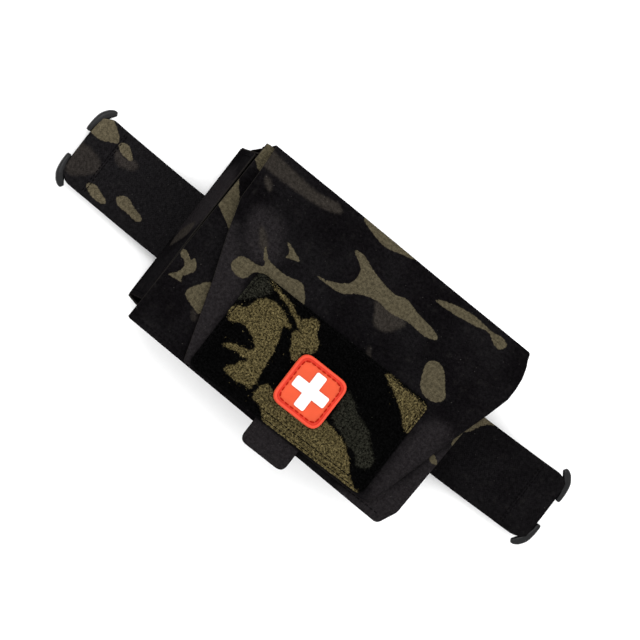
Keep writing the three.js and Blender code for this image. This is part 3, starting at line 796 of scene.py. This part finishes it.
def make_sleeve(cloth, seam):
    """One sheet makes the back, both long walls and the upper flange. The front panel is sewn on it."""
    back_low, back_high = span("back_panel")
    wall_low, wall_high = span("side_wall_lower")
    flange_low, flange_high = span("side_wall_upper")
    base_z = (back_low[2] + back_high[2]) / 2
    top_z = wall_high[2] - CLOTH / 2
    upper_y = flange_low[1] + CLOTH / 2
    corners = [(wall_low[1] + CLOTH / 2, top_z), (-53.2, 36.5), (LOWER_FOLD_Y, base_z), (upper_y, base_z),
               (upper_y, top_z), (flange_high[1], top_z)]
    section = rounded(corners, [0, 14, 2.5, 2.5, 2.0, 0], closed=False)
    place = swept(resample(section, 0.6), "X", ripple=0.25)
    base = (place.at((LOWER_FOLD_Y, base_z + 2.5)), place.at((upper_y, base_z + 2.5)))
    left, right = wall_low[0], wall_high[0]
    # Clockwise in flat coordinates from the lower wall's edge. The back is a little longer than the walls.
    outline = [(left, 0), (left, base[0]), (back_low[0], base[0] + 1), (back_low[0], base[1] - 1),
               (left, base[1]), (left, place.end), (right, place.end - FOLD_LEAN), (right, base[1]),
               (back_high[0], base[1] - 1), (back_high[0], base[0] + 1), (right, base[0]), (right, 26),
               (87.5, 0)]
    holes = slot_holes(place.at((0.0, base_z)))
    low, high = (left, 0), (right, place.end)
    camo = {"olive": scattered(low, high, 15, 11), "grey": scattered(low, high, 11, 12),
            "charcoal": scattered(low, high, 5, 13, (35, 60))}
    sleeve = panel("sleeve_wrap", outline, place, CLOTH, cloth, holes, camo=camo, body="sleeve",
                   slot="camo_laminate", stands_for=("back_panel", "side_wall_lower", "side_wall_upper"))
    rows = [[(left + 3, place.end - 3), (right - 3, place.end - FOLD_LEAN - 3)]]
    stitches("sleeve_seam", place, rows, CLOTH / 2, seam, body="sleeve", slot="camo_laminate")


def make_front(cloth, seam):
    """The front panel, stitched along both long edges apart from where the tab lies."""
    low, high = span("front_panel")
    middle = (low[2] + high[2]) / 2
    place = level(middle, 0.12)
    camo = {"olive": FRONT_OLIVE, "grey": FRONT_GREY, "charcoal": FRONT_CHARCOAL}
    outline = rounded(FRONT_CORNERS[:1] + TAB_RELIEF + FRONT_CORNERS[1:], FRONT_RADII)
    front = panel("front_panel_sheet", outline, place, CLOTH, cloth, camo=camo, body="sleeve",
                  slot="camo_laminate", stands_for=("front_panel",))
    edge = FRONT_CORNERS
    rows = [[(edge[0][0] + 4, edge[0][1] + 3), (-9, -61.6)],
            [(29, -62.6), (edge[1][0] - 3, edge[1][1] + 4.6)],
            [(edge[4][0] + 4, edge[4][1] - 3.2), (edge[3][0] - 4, edge[3][1] - 3.2)]]
    stitches("front_panel_seams", place, rows, CLOTH / 2, seam, body="sleeve", slot="camo_laminate")


def make_closure(hook, pile):
    """Two pairs of tapes hold the flap down: hooks on the front panel and loops under the flap."""
    kinds = (("hook", hook, "sleeve", "hook_tape"), ("loop", pile, "flap", "loop_pile"))
    for side in ("left", "right"):
        for kind, material, body, slot in kinds:
            node = f"closure_{kind}_{side}"
            low, high = span(node)
            place = level((low[2] + high[2]) / 2)
            tape = panel(f"{node}_tape", rectangle(low[:2], high[:2], 3.0), place, high[2] - low[2], material,
                         body=body, slot=slot, stands_for=(node,))


def place_half(section):
    """Half the section's length, which puts the flat sheet's origin at its middle."""
    return np.linalg.norm(np.diff(section, axis=0), axis=1).sum() / 2


def make_belt_loops(strap, seam):
    """Each loop is one strap, tacked down at both ends and standing off the back in the middle."""
    for side in ("left", "right"):
        node = f"belt_loop_{side}"
        low, high = span(node)
        thick = 1.6
        near, far = high[2] - thick / 2, low[2] + thick / 2
        end, shoulder, tunnel = high[1], high[1] - 11, high[1] - 17
        line = [(-end, near), (-shoulder, near), (-tunnel, far), (tunnel, far), (shoulder, near), (end, near)]
        section = resample(rounded(line, [0, 5, 5, 5, 5, 0], closed=False), 0.6)
        place = swept(section, "X", start=-place_half(section))
        half = place.end
        outline = rectangle((low[0], -half), (high[0], half), 0.8)
        web = panel(f"{node}_web", outline, place, thick, strap, bevel=0.5, body="sleeve",
                    slot="black_webbing", stands_for=(node,))
        rows = []
        for sign in (-1, 1):
            for inset_y in (2.0, 3.2, 8.0, 9.2):
                y = sign * (half - inset_y)
                rows.append([(low[0] + 2, y), (high[0] - 2, y)])
        stitches(f"{node}_bar_tacks", place, rows, thick / 2, seam, pitch=1.5, long=1.3, body="sleeve",
                 slot="black_webbing")


# ------------------------------------------------------------------ spine and flap

SPINE_FOOT = np.array((56.6, 1.0))  # Y and Z of the spine's lower and upper fold
SPINE_HEAD = np.array((63.9, 49.8))
LAP = (20.0, 31.0)  # heights between which the flap's sheet laps over the spine's
FLAP_LEFT = [(-90.6, 29.5), (-83.4, 8.5), (-73.7, -16.5), (-58.2, -63.8)]
FLAP_RIGHT = [(75.4, -62.0), (79.6, -46.0), (97.4, 17.0), (101.5, 33.5), (101.6, 41.0), (100.9, 49.5),
              (99.2, 56.5), (97.4, 60.6)]
FLAP_RADII = [9, 6, 10, 2, 4, 5, 5, 3, 1.5, 0.3, 0.3, 2, 12, 4, 4, 3]
FLAP_TOP = [(-62.5, 51.8), (-40, 51.8), (-12, 51.8), (3, 52.9), (16, 54.7), (30, 56.4), (44, 56.4),
            (55, 55.2), (60.8, 53.6), (63.3, 51.9), (63.9, 49.0)]  # Y and Z from the free edge to the fold


def leaning(place):
    """The same sheet, with its spine leaning in towards the right end, so the fold isn't quite square."""
    def leant(flat):
        points, normals = place(flat)
        along = np.clip((points[:, 0] + 95) / 190, 0, 1)
        up = np.clip(points[:, 2] / 50, 0, 1)
        near_fold = np.clip((points[:, 1] - 30) / 30, 0, 1)
        points[:, 1] -= FOLD_LEAN * along * up * near_fold**2 * (3 - 2 * near_fold)
        return points, normals

    leant.end, leant.at = place.end, place.at
    return leant


def spine_point(height, proud=0.0):
    """The point on the spine's middle line at a height, standing proud of it by a distance."""
    ahead = unit(SPINE_HEAD - SPINE_FOOT)
    point = SPINE_FOOT + ahead * (height - SPINE_FOOT[1]) / ahead[1]
    return tuple(point + np.array((ahead[1], -ahead[0])) * proud)


def make_spine(cloth, seam):
    """The flap's standing part, sewn under the back's edge."""
    low, high = span("flap_spine")
    section = rounded([(51.5, -0.75), (56.9, -0.75), spine_point(LAP[1])], [0, 2.2, 0], closed=False)
    place = leaning(swept(resample(section, 0.5), "X", ripple=0.1))
    left, right = low[0], high[0]
    camo = {"olive": scattered((left, 0), (right, place.end), 4, 21), "grey": []}
    spine = panel("spine_sheet", rectangle((left, 0), (right, place.end)), place, CLOTH, cloth, step=1.5,
                  camo=camo, slot="camo_laminate", stands_for=("flap_spine",))
    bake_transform(spine)
    rows = [[(left + 2, 1.6), (right - 2, 1.6)]]
    stitches("spine_foot_seam", place, rows, CLOTH / 2, seam, body="sleeve", slot="camo_laminate")


def flap_place():
    """place() for the flap, from its free edge over the fold to the lap down the spine."""
    line = FLAP_TOP + [spine_point(LAP[1] + 8, 0.1), spine_point(LAP[1], 1.2), spine_point(LAP[0], 1.35)]
    section = smooth_line(line, 0.5)
    return leaning(swept(section, "X", printed="left", start=FLAP_TOP[0][0], ripple=0.2))


def flap_outline(place):
    """Counter-clockwise from the free edge's right end, in the flap's flat coordinates."""
    low, high = span("flap_spine")
    fold = place.at((63.9, 49.0))
    lap = [(high[0], fold + 1), (high[0], place.end), (low[0], place.end), (low[0], fold)]
    return rounded(FLAP_RIGHT + lap + FLAP_LEFT, FLAP_RADII)


def make_flap(cloth, seam):
    """The flap's sheet, sewn on the spine. Its place() is handed on, for what lies on the flap."""
    place = flap_place()
    camo = {"olive": FLAP_OLIVE, "grey": FLAP_GREY, "charcoal": FLAP_CHARCOAL_AND_PAINTED_LIGHT}
    flap = panel("flap_sheet", flap_outline(place), place, CLOTH, cloth, step=1.6, camo=camo,
                 slot="camo_laminate", stands_for=("flap_panel",))
    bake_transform(flap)
    lap_top = place.end - (LAP[1] - LAP[0])
    left, right = span("flap_spine")[0][0], span("flap_spine")[1][0]
    rows = [[(left + 2, y), (right - 2, y)] for y in (place.end - 1.8, lap_top + 3.4)]
    stitches("spine_lap_seams", place, rows, CLOTH / 2, seam, body="spine", slot="camo_laminate")
    return place


def make_field(place, pile, seam):
    """The loop field is sewn on the flap, and its fuzz stands on the field."""
    low, high = span("loop_field")
    thick = 1.3
    lift = CLOTH / 2 + 0.1 + thick / 2

    def raised(flat):
        points, normals = place(flat)
        return points + normals * lift, normals

    corners = [(low[0], low[1] - 2.2), (high[0], low[1] - 0.6), high[:2], (low[0], high[1])]
    outline = rounded(corners, 5.0)
    camo = {"olive": FIELD_OLIVE, "grey": FIELD_GREY}
    field = panel("loop_field_cloth", outline, raised, thick, pile, step=1.6, bevel=0.5, camo=camo,
                  body="flap", slot="loop_pile", stands_for=("loop_field",))
    curls("loop_field_pile", raised, outline, 12000, thick / 2, pile, 31, camo, body="flap", slot="loop_pile")
    sewn = inset(resample(outline, 2.0, True), 1.6)
    lower = [(low[0] + 6, low[1] + 3.4), (high[0] - 5, low[1] + 4.4)]
    stitches("loop_field_seam", raised, [np.vstack([sewn, sewn[:1]]), lower], thick / 2 + 0.4, seam,
             body="flap", slot="loop_pile")


def make_tab(cloth, seam):
    """The tab is sewn under the flap's free edge."""
    root_low, root_high = span("pull_tab_root")
    low, high = span("pull_tab")
    place = level((low[2] + high[2]) / 2)
    corners = [low[:2], (high[0], low[1]), (high[0], root_high[1]), (low[0], root_high[1])]
    camo = {"charcoal": [rectangle(low[:2] - 9, high[:2] + 9)]}
    tab = panel("pull_tab_sheet", rounded(corners, [5, 5, 0.3, 0.3]), place, CLOTH, cloth, step=1.2,
                camo=camo, slot="camo_laminate", stands_for=("pull_tab_root", "pull_tab"))
    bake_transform(tab)
    rows = [[(low[0] + 2.5, root_low[1] + 6), (high[0] - 2.5, root_low[1] + 6)]]
    stitches("pull_tab_seam", place, rows, CLOTH / 2, seam, body="flap", slot="camo_laminate")


# ------------------------------------------------------------------ patch


def ring_of_square(centre, side, radius, height):
    """A level ring: a square with rounded corners."""
    half = side / 2
    outline = rectangle(centre - half, centre + half, max(radius, 0.4))
    return np.c_[outline, np.full(len(outline), height)]


def lofted(name, rings, material, closed=False, **settings):
    """A solid between rings that have the same number of points: capped, or closed on itself as a frame."""
    count = len(rings[0])
    faces = []
    pairs = list(zip(range(len(rings) - 1), range(1, len(rings))))
    if closed:
        pairs.append((len(rings) - 1, 0))
    around = np.arange(count)
    ahead = (around + 1) % count
    for a, b in pairs:
        a, b = a * count, b * count
        faces += np.stack([a + around, a + ahead, b + ahead, b + around], axis=1).tolist()
    if not closed:
        faces += [around[::-1].tolist(), (around + (len(rings) - 1) * count).tolist()]
    piece = make(name, np.vstack(rings), faces, material, **settings)
    piece.data.set_sharp_from_angle(angle=math.radians(50))
    return piece


# Sections of the patch, as (distance in from its edge, height).
PATCH_BODY = [(1.2, 0.0), (0.3, 0.0), (0.0, 0.3), (0.0, 1.3), (0.35, 1.75), (0.9, 1.8)]
PATCH_RIM = [(0.25, 0.0), (0.25, 0.35), (0.45, 0.64), (0.75, 0.75), (1.35, 0.75), (1.65, 0.64), (1.8, 0.3),
             (1.8, 0.0)]
PATCH_BAND = [(1.82, 0.0), (1.82, 0.4), (2.05, 0.46), (2.95, 0.4), (3.2, 0.25), (3.3, 0.0)]
PATCH_RADIUS = 6.8
PATCH_STITCH_INWARD = 3.1


def make_patch(red, rim, band, white, hook, dark_thread):
    """A moulded square with a raised rim, a lower band inside it, painted a darker red as shade beside the
    rim, and a raised plus, on a hook backing.
    """
    low, high = span("patch_base")
    centre, side = (low[:2] + high[:2]) / 2 - (0.5, 0.4), high[0] - low[0] - 0.3
    foot = high[2] + 0.03

    def rings(section, height):
        return [ring_of_square(centre, side - 2 * inward, PATCH_RADIUS - inward, height + up)
                for inward, up in section]

    lofted("patch_body", rings(PATCH_BODY, low[2]), red, body="flap", slot="patch_red",
           stands_for=("patch_base",))
    lofted("patch_rim", rings(PATCH_RIM, foot), rim, closed=True, body="flap", slot="patch_rim",
           stands_for=("patch_border",))
    # The band's darker red is painted shade beside the raised rim.
    lofted("patch_shaded_band", rings(PATCH_BAND, foot), band, closed=True, body="flap", slot="patch_rim")
    plus_low, plus_high = span("patch_cross")
    reach = (plus_high[0] - plus_low[0]) / 2 + 1.7
    make_plus(centre, reach, 3.4, foot, plus_high[2] - plus_low[2], white)
    back_low, back_high = span("patch_hook_backing")
    panel("patch_backing", rectangle(back_low[:2], back_high[:2], 3.0),
          level((back_low[2] + back_high[2]) / 2), back_high[2] - back_low[2], hook, body="flap",
          slot="hook_tape", stands_for=("patch_hook_backing",))
    run = resample(rings([(PATCH_STITCH_INWARD, 0.0)], 0.0)[0][:, :2], 1.0, True)
    stitches("patch_stitching", level(high[2]), [np.vstack([run, run[:1]])], 0.25, dark_thread, pitch=3.6,
             long=2.8, radius=0.42, body="flap", slot="patch_rim")


def make_plus(centre, reach, arm, foot, relief, white):
    """A plain raised plus with softly rounded ends."""
    corners = [(-arm, -reach), (arm, -reach), (arm, -arm), (reach, -arm), (reach, arm), (arm, arm),
               (arm, reach), (-arm, reach), (-arm, arm), (-reach, arm), (-reach, -arm), (-arm, -arm)]
    outline = rounded(np.array(corners) + centre, [1.3, 1.3, 0.4] * 4)
    rings = []
    for inward, up in ((0.0, 0.0), (0.0, relief - 0.25), (0.12, relief - 0.06), (0.35, relief)):
        rings.append(np.c_[inset(outline, inward), np.full(len(outline), foot + up)])
    lofted("patch_plus", rings, white, body="flap", slot="patch_white", stands_for=("patch_cross",))


# ------------------------------------------------------------------ insert


def make_insert(cloth, foam_board, band, seam):
    """One sheet makes the insert's base and both long walls. Its right end is open."""
    low, high = span("insert_base")
    wall_low, wall_high = span("insert_wall_lower")
    upper_low, upper_high = span("insert_wall_upper")
    end_low, end_high = span("insert_end_wall")
    base_z = (low[2] + high[2]) / 2
    lower_y, upper_y = (wall_low[1] + wall_high[1]) / 2, (upper_low[1] + upper_high[1]) / 2
    corners = [(lower_y, wall_high[2]), (lower_y, base_z), (upper_y, base_z), (upper_y, wall_high[2])]
    place = swept(resample(rounded(corners, [0, 2.5, 2.5, 0], closed=False), 0.6), "X", ripple=0.15)
    left, right = end_low[0] + 2.6, high[0]
    flat_low, flat_high = (left, 0), (right, place.end)
    camo = {"olive": scattered(flat_low, flat_high, 12, 41), "grey": scattered(flat_low, flat_high, 9, 42)}
    bend = (wall_high[2] - base_z - 2, place.end - (wall_high[2] - base_z - 2))
    short = right - 4.2  # the walls stop short of the base there
    outline = rounded([(left, 0), (left, place.end), (short, place.end), (short, bend[1]), (right, bend[1]),
                       (right, bend[0]), (short, bend[0]), (short, 0)], 0.6)
    tray = panel("insert_tray", outline, place, CLOTH, cloth, camo=camo, body="insert",
                 slot="camo_laminate", stands_for=("insert_base", "insert_wall_lower", "insert_wall_upper"))
    rows = [[(left + 3, y), (short - 3, y)] for y in (2.6, place.end - 2.6)]
    stitches("insert_hems", place, rows, CLOTH / 2, seam, body="insert", slot="camo_laminate")
    make_end_wall(end_low, end_high, base_z, cloth, seam)
    make_insert_fittings(foam_board, band, seam, (lower_y + CLOTH / 2, upper_y - CLOTH / 2))


def make_end_wall(low, high, base_z, cloth, seam):
    """The closed end, which folds up from the tray's base."""
    x = (low[0] + high[0]) / 2
    corners = [(x, high[2]), (x, base_z), (x + 2.0, base_z)]
    place = swept(resample(rounded(corners, [0, 1.6, 0], closed=False), 0.5), "Y", ripple=0.3)
    outline = rectangle((low[1], 0), (high[1], place.end), 0.8)
    camo = {"grey": [[(-14, 32), (-10, 20), (-4, 10), (3, 12), (2, 22), (-5, 34)]],
            "charcoal": [[(-5, 42), (1, 4), (34, 0), (38, 36)]]}
    end = panel("insert_end_sheet", outline, place, CLOTH, cloth, step=1.6, camo=camo, body="insert",
                slot="camo_laminate", stands_for=("insert_end_wall",))
    rows = [[(y, 3), (y, place.end - 6)] for y in (low[1] + 3, high[1] - 3)]
    stitches("insert_end_seams", place, rows, CLOTH / 2, seam, body="insert", slot="camo_laminate")


def make_insert_fittings(foam_board, band, seam, inner):
    """The board under the tourniquet and the two elastic bands over it, tacked to the walls."""
    low, high = span("insert_stiffener")
    board = panel("insert_stiffener_board", rectangle(low[:2], high[:2], 3.0), level((low[2] + high[2]) / 2),
                  high[2] - low[2], foam_board, step=3.0, bevel=0.8, body="insert", slot="stiffener_foam",
                  stands_for=("insert_stiffener",))
    for side in ("left", "right"):
        node = f"elastic_band_{side}"
        low, high = span(node)
        z = (low[2] + high[2]) / 2
        thick = 0.9
        y0, y1 = inner[0] + 0.9, inner[1] - 0.9
        corners = [(y0, z - 9), (y0, z), (y1, z), (y1, z - 9)]
        section = resample(rounded(corners, [0, 2, 2, 0], closed=False), 0.5)
        place = swept(section, "X", printed="left", ripple=0.2)
        loop = panel(f"{node}_loop", rectangle((low[0], 0), (high[0], place.end), 0.5), place, thick, band,
                     body="insert", slot="elastic", stands_for=(node,))
        rows = [[(low[0] + 1.5, y), (high[0] - 1.5, y)] for y in (2.0, 3.4, place.end - 3.4, place.end - 2.0)]
        stitches(f"{node}_tacks", place, rows, -thick / 2, seam, pitch=1.6, long=1.3, body="insert",
                 slot="elastic")


# ------------------------------------------------------------------ pull strap and handles

STRAP_THICKNESS = 1.3
HEM_START_X = 151.5  # where the folded-back end of the strap is sewn down
BAR_X = 168.8  # the handle's bar
BAR_RADIUS = 1.5
BAR_HALF = 25.0  # half the bar's length
HANDLE_GRAIN = 0.34  # the size of the cells that the handle's skin is drawn from
BOW = 1.8  # how far the strap's middle lies off the centre line, where it leaves the pouch


def strap_place(low):
    """The strap's middle line: from one hem's start, round its bar, under the insert, and the same again."""
    base_z = low[2] + STRAP_THICKNESS / 2
    loop = BAR_RADIUS + 0.3 + STRAP_THICKNESS / 2
    bar_z = low[2] + STRAP_THICKNESS + BAR_RADIUS + 0.3
    upper_z = base_z + STRAP_THICKNESS + 0.12
    half = [(HEM_START_X, base_z), (BAR_X - 8, base_z), (BAR_X - 4, base_z)]
    turns = np.linspace(-math.pi / 2, math.pi / 2, 9)
    half += [(BAR_X + loop * math.cos(a), bar_z + loop * math.sin(a)) for a in turns]
    half += [(BAR_X - 2.5, bar_z + loop - 0.15), (HEM_START_X + 11.5, upper_z + 2.2),
             (HEM_START_X + 5, upper_z + 0.4), (HEM_START_X, upper_z), (HEM_START_X - 12, upper_z),
             (120, base_z + 0.2), (105, base_z), (90, base_z), (45, base_z)]
    left = [(-x, z) for x, z in half]
    section = smooth_line(left + [(0, base_z)] + half[::-1], 0.5)
    straight = swept(section, "Y", printed="left", start=-place_half(section))

    def place(flat):
        points, normals = straight(flat)
        out = np.clip((np.abs(points[:, 0]) - 98.0) / (BAR_X - 98.0), 0, 1)
        points[:, 1] -= BOW * (1 - out**1.6)
        return points, normals

    place.end = straight.end
    return place


def strap_outline(place, half):
    """The strap is cut narrower where it passes between the handle's wings."""
    reach = BAR_X + 4.4  # along the cloth, to the middle of its turn round the bar
    cuts = [(9.0, 0.0), (7.0, 0.5), (4.3, 1.9), (2.0, 3.2)]  # distance from the middle and depth
    notch = [(half - depth, reach - away) for away, depth in cuts] + [(half - 3.8, reach)]
    notch += [(half - depth, reach + away) for away, depth in cuts[::-1]]
    side = [(half, -place.end)] + [(y, -s) for y, s in notch[::-1]] + notch + [(half, place.end)]
    return side + [(-y, s) for y, s in side[::-1]]


def make_strap(cloth, seam):
    """The strap, with two rows of stitches across each hem."""
    low, high = span("pull_strap")
    place = strap_place(low)
    half = (high[1] - low[1]) / 2
    # The charcoal tone over the strap's whole left end is painted light: it makes that end paler, as if lit
    # from the left.
    camo = {"charcoal": [rectangle((-40, -190), (40, -95))],
            "olive": [[(y + BOW * 0.5, x) for x, y in shape] for shape in STRAP_OLIVE],
            "grey": [[(y + BOW * 0.5, x) for x, y in shape] for shape in STRAP_GREY]}
    outline = strap_outline(place, half)
    strap = panel("pull_strap_sheet", outline, place, STRAP_THICKNESS, cloth, step=1.5, bevel=0.4, camo=camo,
                  both_sides=True, body="insert", slot="camo_strap", stands_for=("pull_strap",))
    rows = []
    for sign in (-1, 1):
        for x in (HEM_START_X + 2.0, HEM_START_X + 3.6):
            rows.append([(-half + 2.0, sign * x), (half - 2.0, sign * x)])
    stitches("pull_strap_seams", place, rows, STRAP_THICKNESS / 2, seam, pitch=2.6, long=2.0, body="insert",
             slot="camo_strap")


def wing(sign):
    """Rings of one wing: a tapered bar that wraps a corner of the strap, with a rounded lobe outside it."""
    line = [(4.6, 8.3), (4.3, 13.5), (3.1, 18.4), (1.1, 22.0), (-1.1, 24.4), (-3.2, 25.6)]
    width = [1.6, 1.7, 2.1, 2.6, 2.5, 1.7]
    path = smooth_line(line, 0.8)
    share = np.linspace(0, 1, len(path))
    half = np.interp(share, np.linspace(0, 1, len(width)), width)
    high = np.interp(share, [0, 0.15, 0.6, 1], [1.5, 1.9, 2.3, 1.8])
    ahead = unit(np.gradient(path, axis=0))
    side = np.stack([ahead[:, 1], -ahead[:, 0]], axis=1)
    rings = []
    for i, (x, y) in enumerate(path):
        end = min(i, len(path) - 1 - i)
        shrink = (0.72, 0.92)[end] if end < 2 else 1.0
        angle = np.linspace(0, 2 * math.pi, 20, endpoint=False)
        across = np.sign(np.cos(angle)) * np.abs(np.cos(angle)) ** 0.7 * half[i] * shrink
        up = np.sign(np.sin(angle)) * np.abs(np.sin(angle)) ** 0.7 * high[i] * shrink
        rings.append(np.c_[x + side[i, 0] * across, (y + side[i, 1] * across) * sign, up])
    return rings


def make_handle(side, plastic):
    """A split-bar loop: the bar lies in the strap's hem and a wing wraps each corner of the strap."""
    node = f"handle_{side}"
    low, high = span(node)
    bar_z = (low[2] + high[2]) / 2
    facing = 1 if side == "right" else -1
    points, faces = [], []
    for sign in (-1, 1):
        rings = wing(sign)
        count, first = len(rings[0]), len(points)
        around = np.arange(count)
        for i in range(len(rings) - 1):
            a, b = first + i * count + around, first + i * count + (around + 1) % count
            faces += np.stack([a, b, b + count, a + count], axis=1).tolist()
        faces += [(first + around)[::-1].tolist(), (first + (len(rings) - 1) * count + around).tolist()]
        points += np.vstack(rings).tolist()
    bar = np.array([[(0.0, y, 0.0) for y in np.linspace(-BAR_HALF, BAR_HALF, 11)]])
    bar_points, bar_faces = tubes(bar, BAR_RADIUS, 16, np.array([(0.0, 0.0, 1.0)]))
    faces += [[i + len(points) for i in face] for face in bar_faces]
    points = np.vstack([points, bar_points]) * (facing, 1, 1) + (facing * BAR_X, 0, bar_z)
    handle = make(f"{node}_moulding", points, faces, plastic)
    # The wings and the bar overlap: they are joined into one closed skin, and its edges softened.
    remesh = handle.modifiers.new("one_moulding", "REMESH")
    remesh.mode, remesh.voxel_size, remesh.use_smooth_shade = "VOXEL", HANDLE_GRAIN * MM, True
    smooth = handle.modifiers.new("soft_edges", "SMOOTH")
    smooth.factor, smooth.iterations = 0.5, 5
    apply_modifiers(handle)
    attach(handle, f"{side}_handle")
    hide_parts(node)


def apply_modifiers(piece):
    """Makes the piece's modifiers part of its mesh."""
    graph = bpy.context.evaluated_depsgraph_get()
    mesh = bpy.data.meshes.new_from_object(piece.evaluated_get(graph))
    piece.modifiers.clear()
    piece.data = mesh
    mesh.shade_smooth()


# ------------------------------------------------------------------ tourniquet

FOLD_LAYERS = 5
FOLD_PITCH = 3.4  # from one layer's middle to the next


def make_tourniquet_band(strap, seam):
    """The webbing, folded back and forth in flat layers."""
    low, high = span("tourniquet_band")
    thick = 1.8
    turn = FOLD_PITCH / 2
    left, right = low[0] + turn + thick / 2 + 0.1, high[0] - turn - thick / 2 - 0.1
    line = []
    for layer in range(FOLD_LAYERS):
        z = low[2] + 1.0 + layer * FOLD_PITCH
        ends = (left, right) if layer % 2 == 0 else (right, left)
        line += [(x, z) for x in np.linspace(*ends, 12)]
        if layer < FOLD_LAYERS - 1:
            sign = 1 if layer % 2 == 0 else -1
            for angle in np.linspace(-math.pi / 2, math.pi / 2, 7)[1:-1]:
                line.append((ends[1] + sign * turn * math.cos(angle), z + turn + turn * math.sin(angle)))
    section = smooth_line(line, 0.6)
    place = swept(section, "Y", ripple=0.12)
    outline = rectangle((low[1], 0), (high[1], place.end), 0.5)
    band = panel("tourniquet_webbing", outline, place, thick, strap, step=2.4, bevel=0.5, body="tourniquet",
                 slot="black_webbing", stands_for=("tourniquet_band",))
    rows = [[(low[1] + 3, along), (high[1] - 3, along)] for along in (place.end - 4, place.end - 9)]
    stitches("tourniquet_webbing_seams", place, rows, -thick / 2, seam, body="tourniquet",
             slot="black_webbing")


MOULDED_EDGES = {"windlass_base_plate": 0.7, "windlass_rod": 0.5, "windlass_clip_lower": 0.5,
                 "windlass_clip_upper": 0.5, "tourniquet_buckle": 0.8}


def make_tourniquet_fittings(plastic, label):
    """The moulded parts keep their CAD shape, with rounded edges. The time strap is a short tape."""
    for node, edge in MOULDED_EDGES.items():
        finish_moulding(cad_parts[node], edge, plastic)
    low, high = span("time_strap")
    place = level((low[2] + high[2]) / 2)
    strap = panel("time_strap_tape", rectangle(low[:2], high[:2], 0.8), place, high[2] - low[2], label,
                  step=1.5, body="tourniquet", slot="time_strap", stands_for=("time_strap",))


def finish_moulding(node, edge, material):
    """Rounds a moulded piece's edges and gives it its material."""
    bevel = node.modifiers.new("moulded_edges", "BEVEL")
    bevel.width, bevel.segments, bevel.limit_method = edge * MM, 3, "ANGLE"
    bevel.angle_limit = math.radians(35)
    node.data.materials.clear()
    node.data.materials.append(material)
    node.data.shade_smooth()
    node.data.set_sharp_from_angle(angle=math.radians(40))


# ------------------------------------------------------------------ the whole object

make_camera()
make_studio()
make_floor()

# Each cloth's two ground tones, then its olive, grey and charcoal.
laminate_colours = ("0e0d0e", "080708", "3e392c", "23201d", "191718")
strap_colours = ("0f0e0f", "0b0a0b", "474133", "23201e", "121112")
camo_cloth = printed_cloth("camo_laminate", 0.5, 0.05, laminate_colours, ("151413", "272421"))
strap_cloth = printed_cloth("camo_strap", 0.8, 0.08, strap_colours, ("0a0a0a", "1c1b1a"))
black_web = webbing("black_webbing", "060606", "141315")
pile_cloth = loop_pile("loop_pile")
hooks = hook_tape("hook_tape")
black_thread = thread("black_thread", "040404", "0d0c0d")
red_thread = thread("red_thread", "86140a", "9c1c0f")
plastic = moulded("black_plastic", "0c0c0d", 0.3, 0.16)
patch_red = moulded("patch_red", "b74428", 0.5, 0.1)
patch_rim = moulded("patch_rim", "be3d2a", 0.45, 0.1)
# The band's darker red is painted shade beside the rim.
patch_shaded_band = moulded("patch_shaded_band", "ab2818", 0.5, 0.1)
patch_white = moulded("patch_white", "cacac7", 0.5, 0.2)

make_sleeve(camo_cloth, black_thread)
make_front(camo_cloth, black_thread)
make_closure(hooks, pile_cloth)
make_belt_loops(black_web, black_thread)
make_spine(camo_cloth, black_thread)
flap_surface = make_flap(camo_cloth, black_thread)
make_field(flap_surface, pile_cloth, black_thread)
make_tab(camo_cloth, black_thread)
make_patch(patch_red, patch_rim, patch_shaded_band, patch_white, hooks, red_thread)
make_insert(camo_cloth, foam("stiffener_foam"), elastic("elastic"), black_thread)
make_strap(strap_cloth, black_thread)
make_handle("left", plastic)
make_handle("right", plastic)
make_tourniquet_band(black_web, black_thread)
make_tourniquet_fittings(plastic, webbing("time_strap", "6d6e6b", "8a8b88", rib=0.9, relief=0.08))
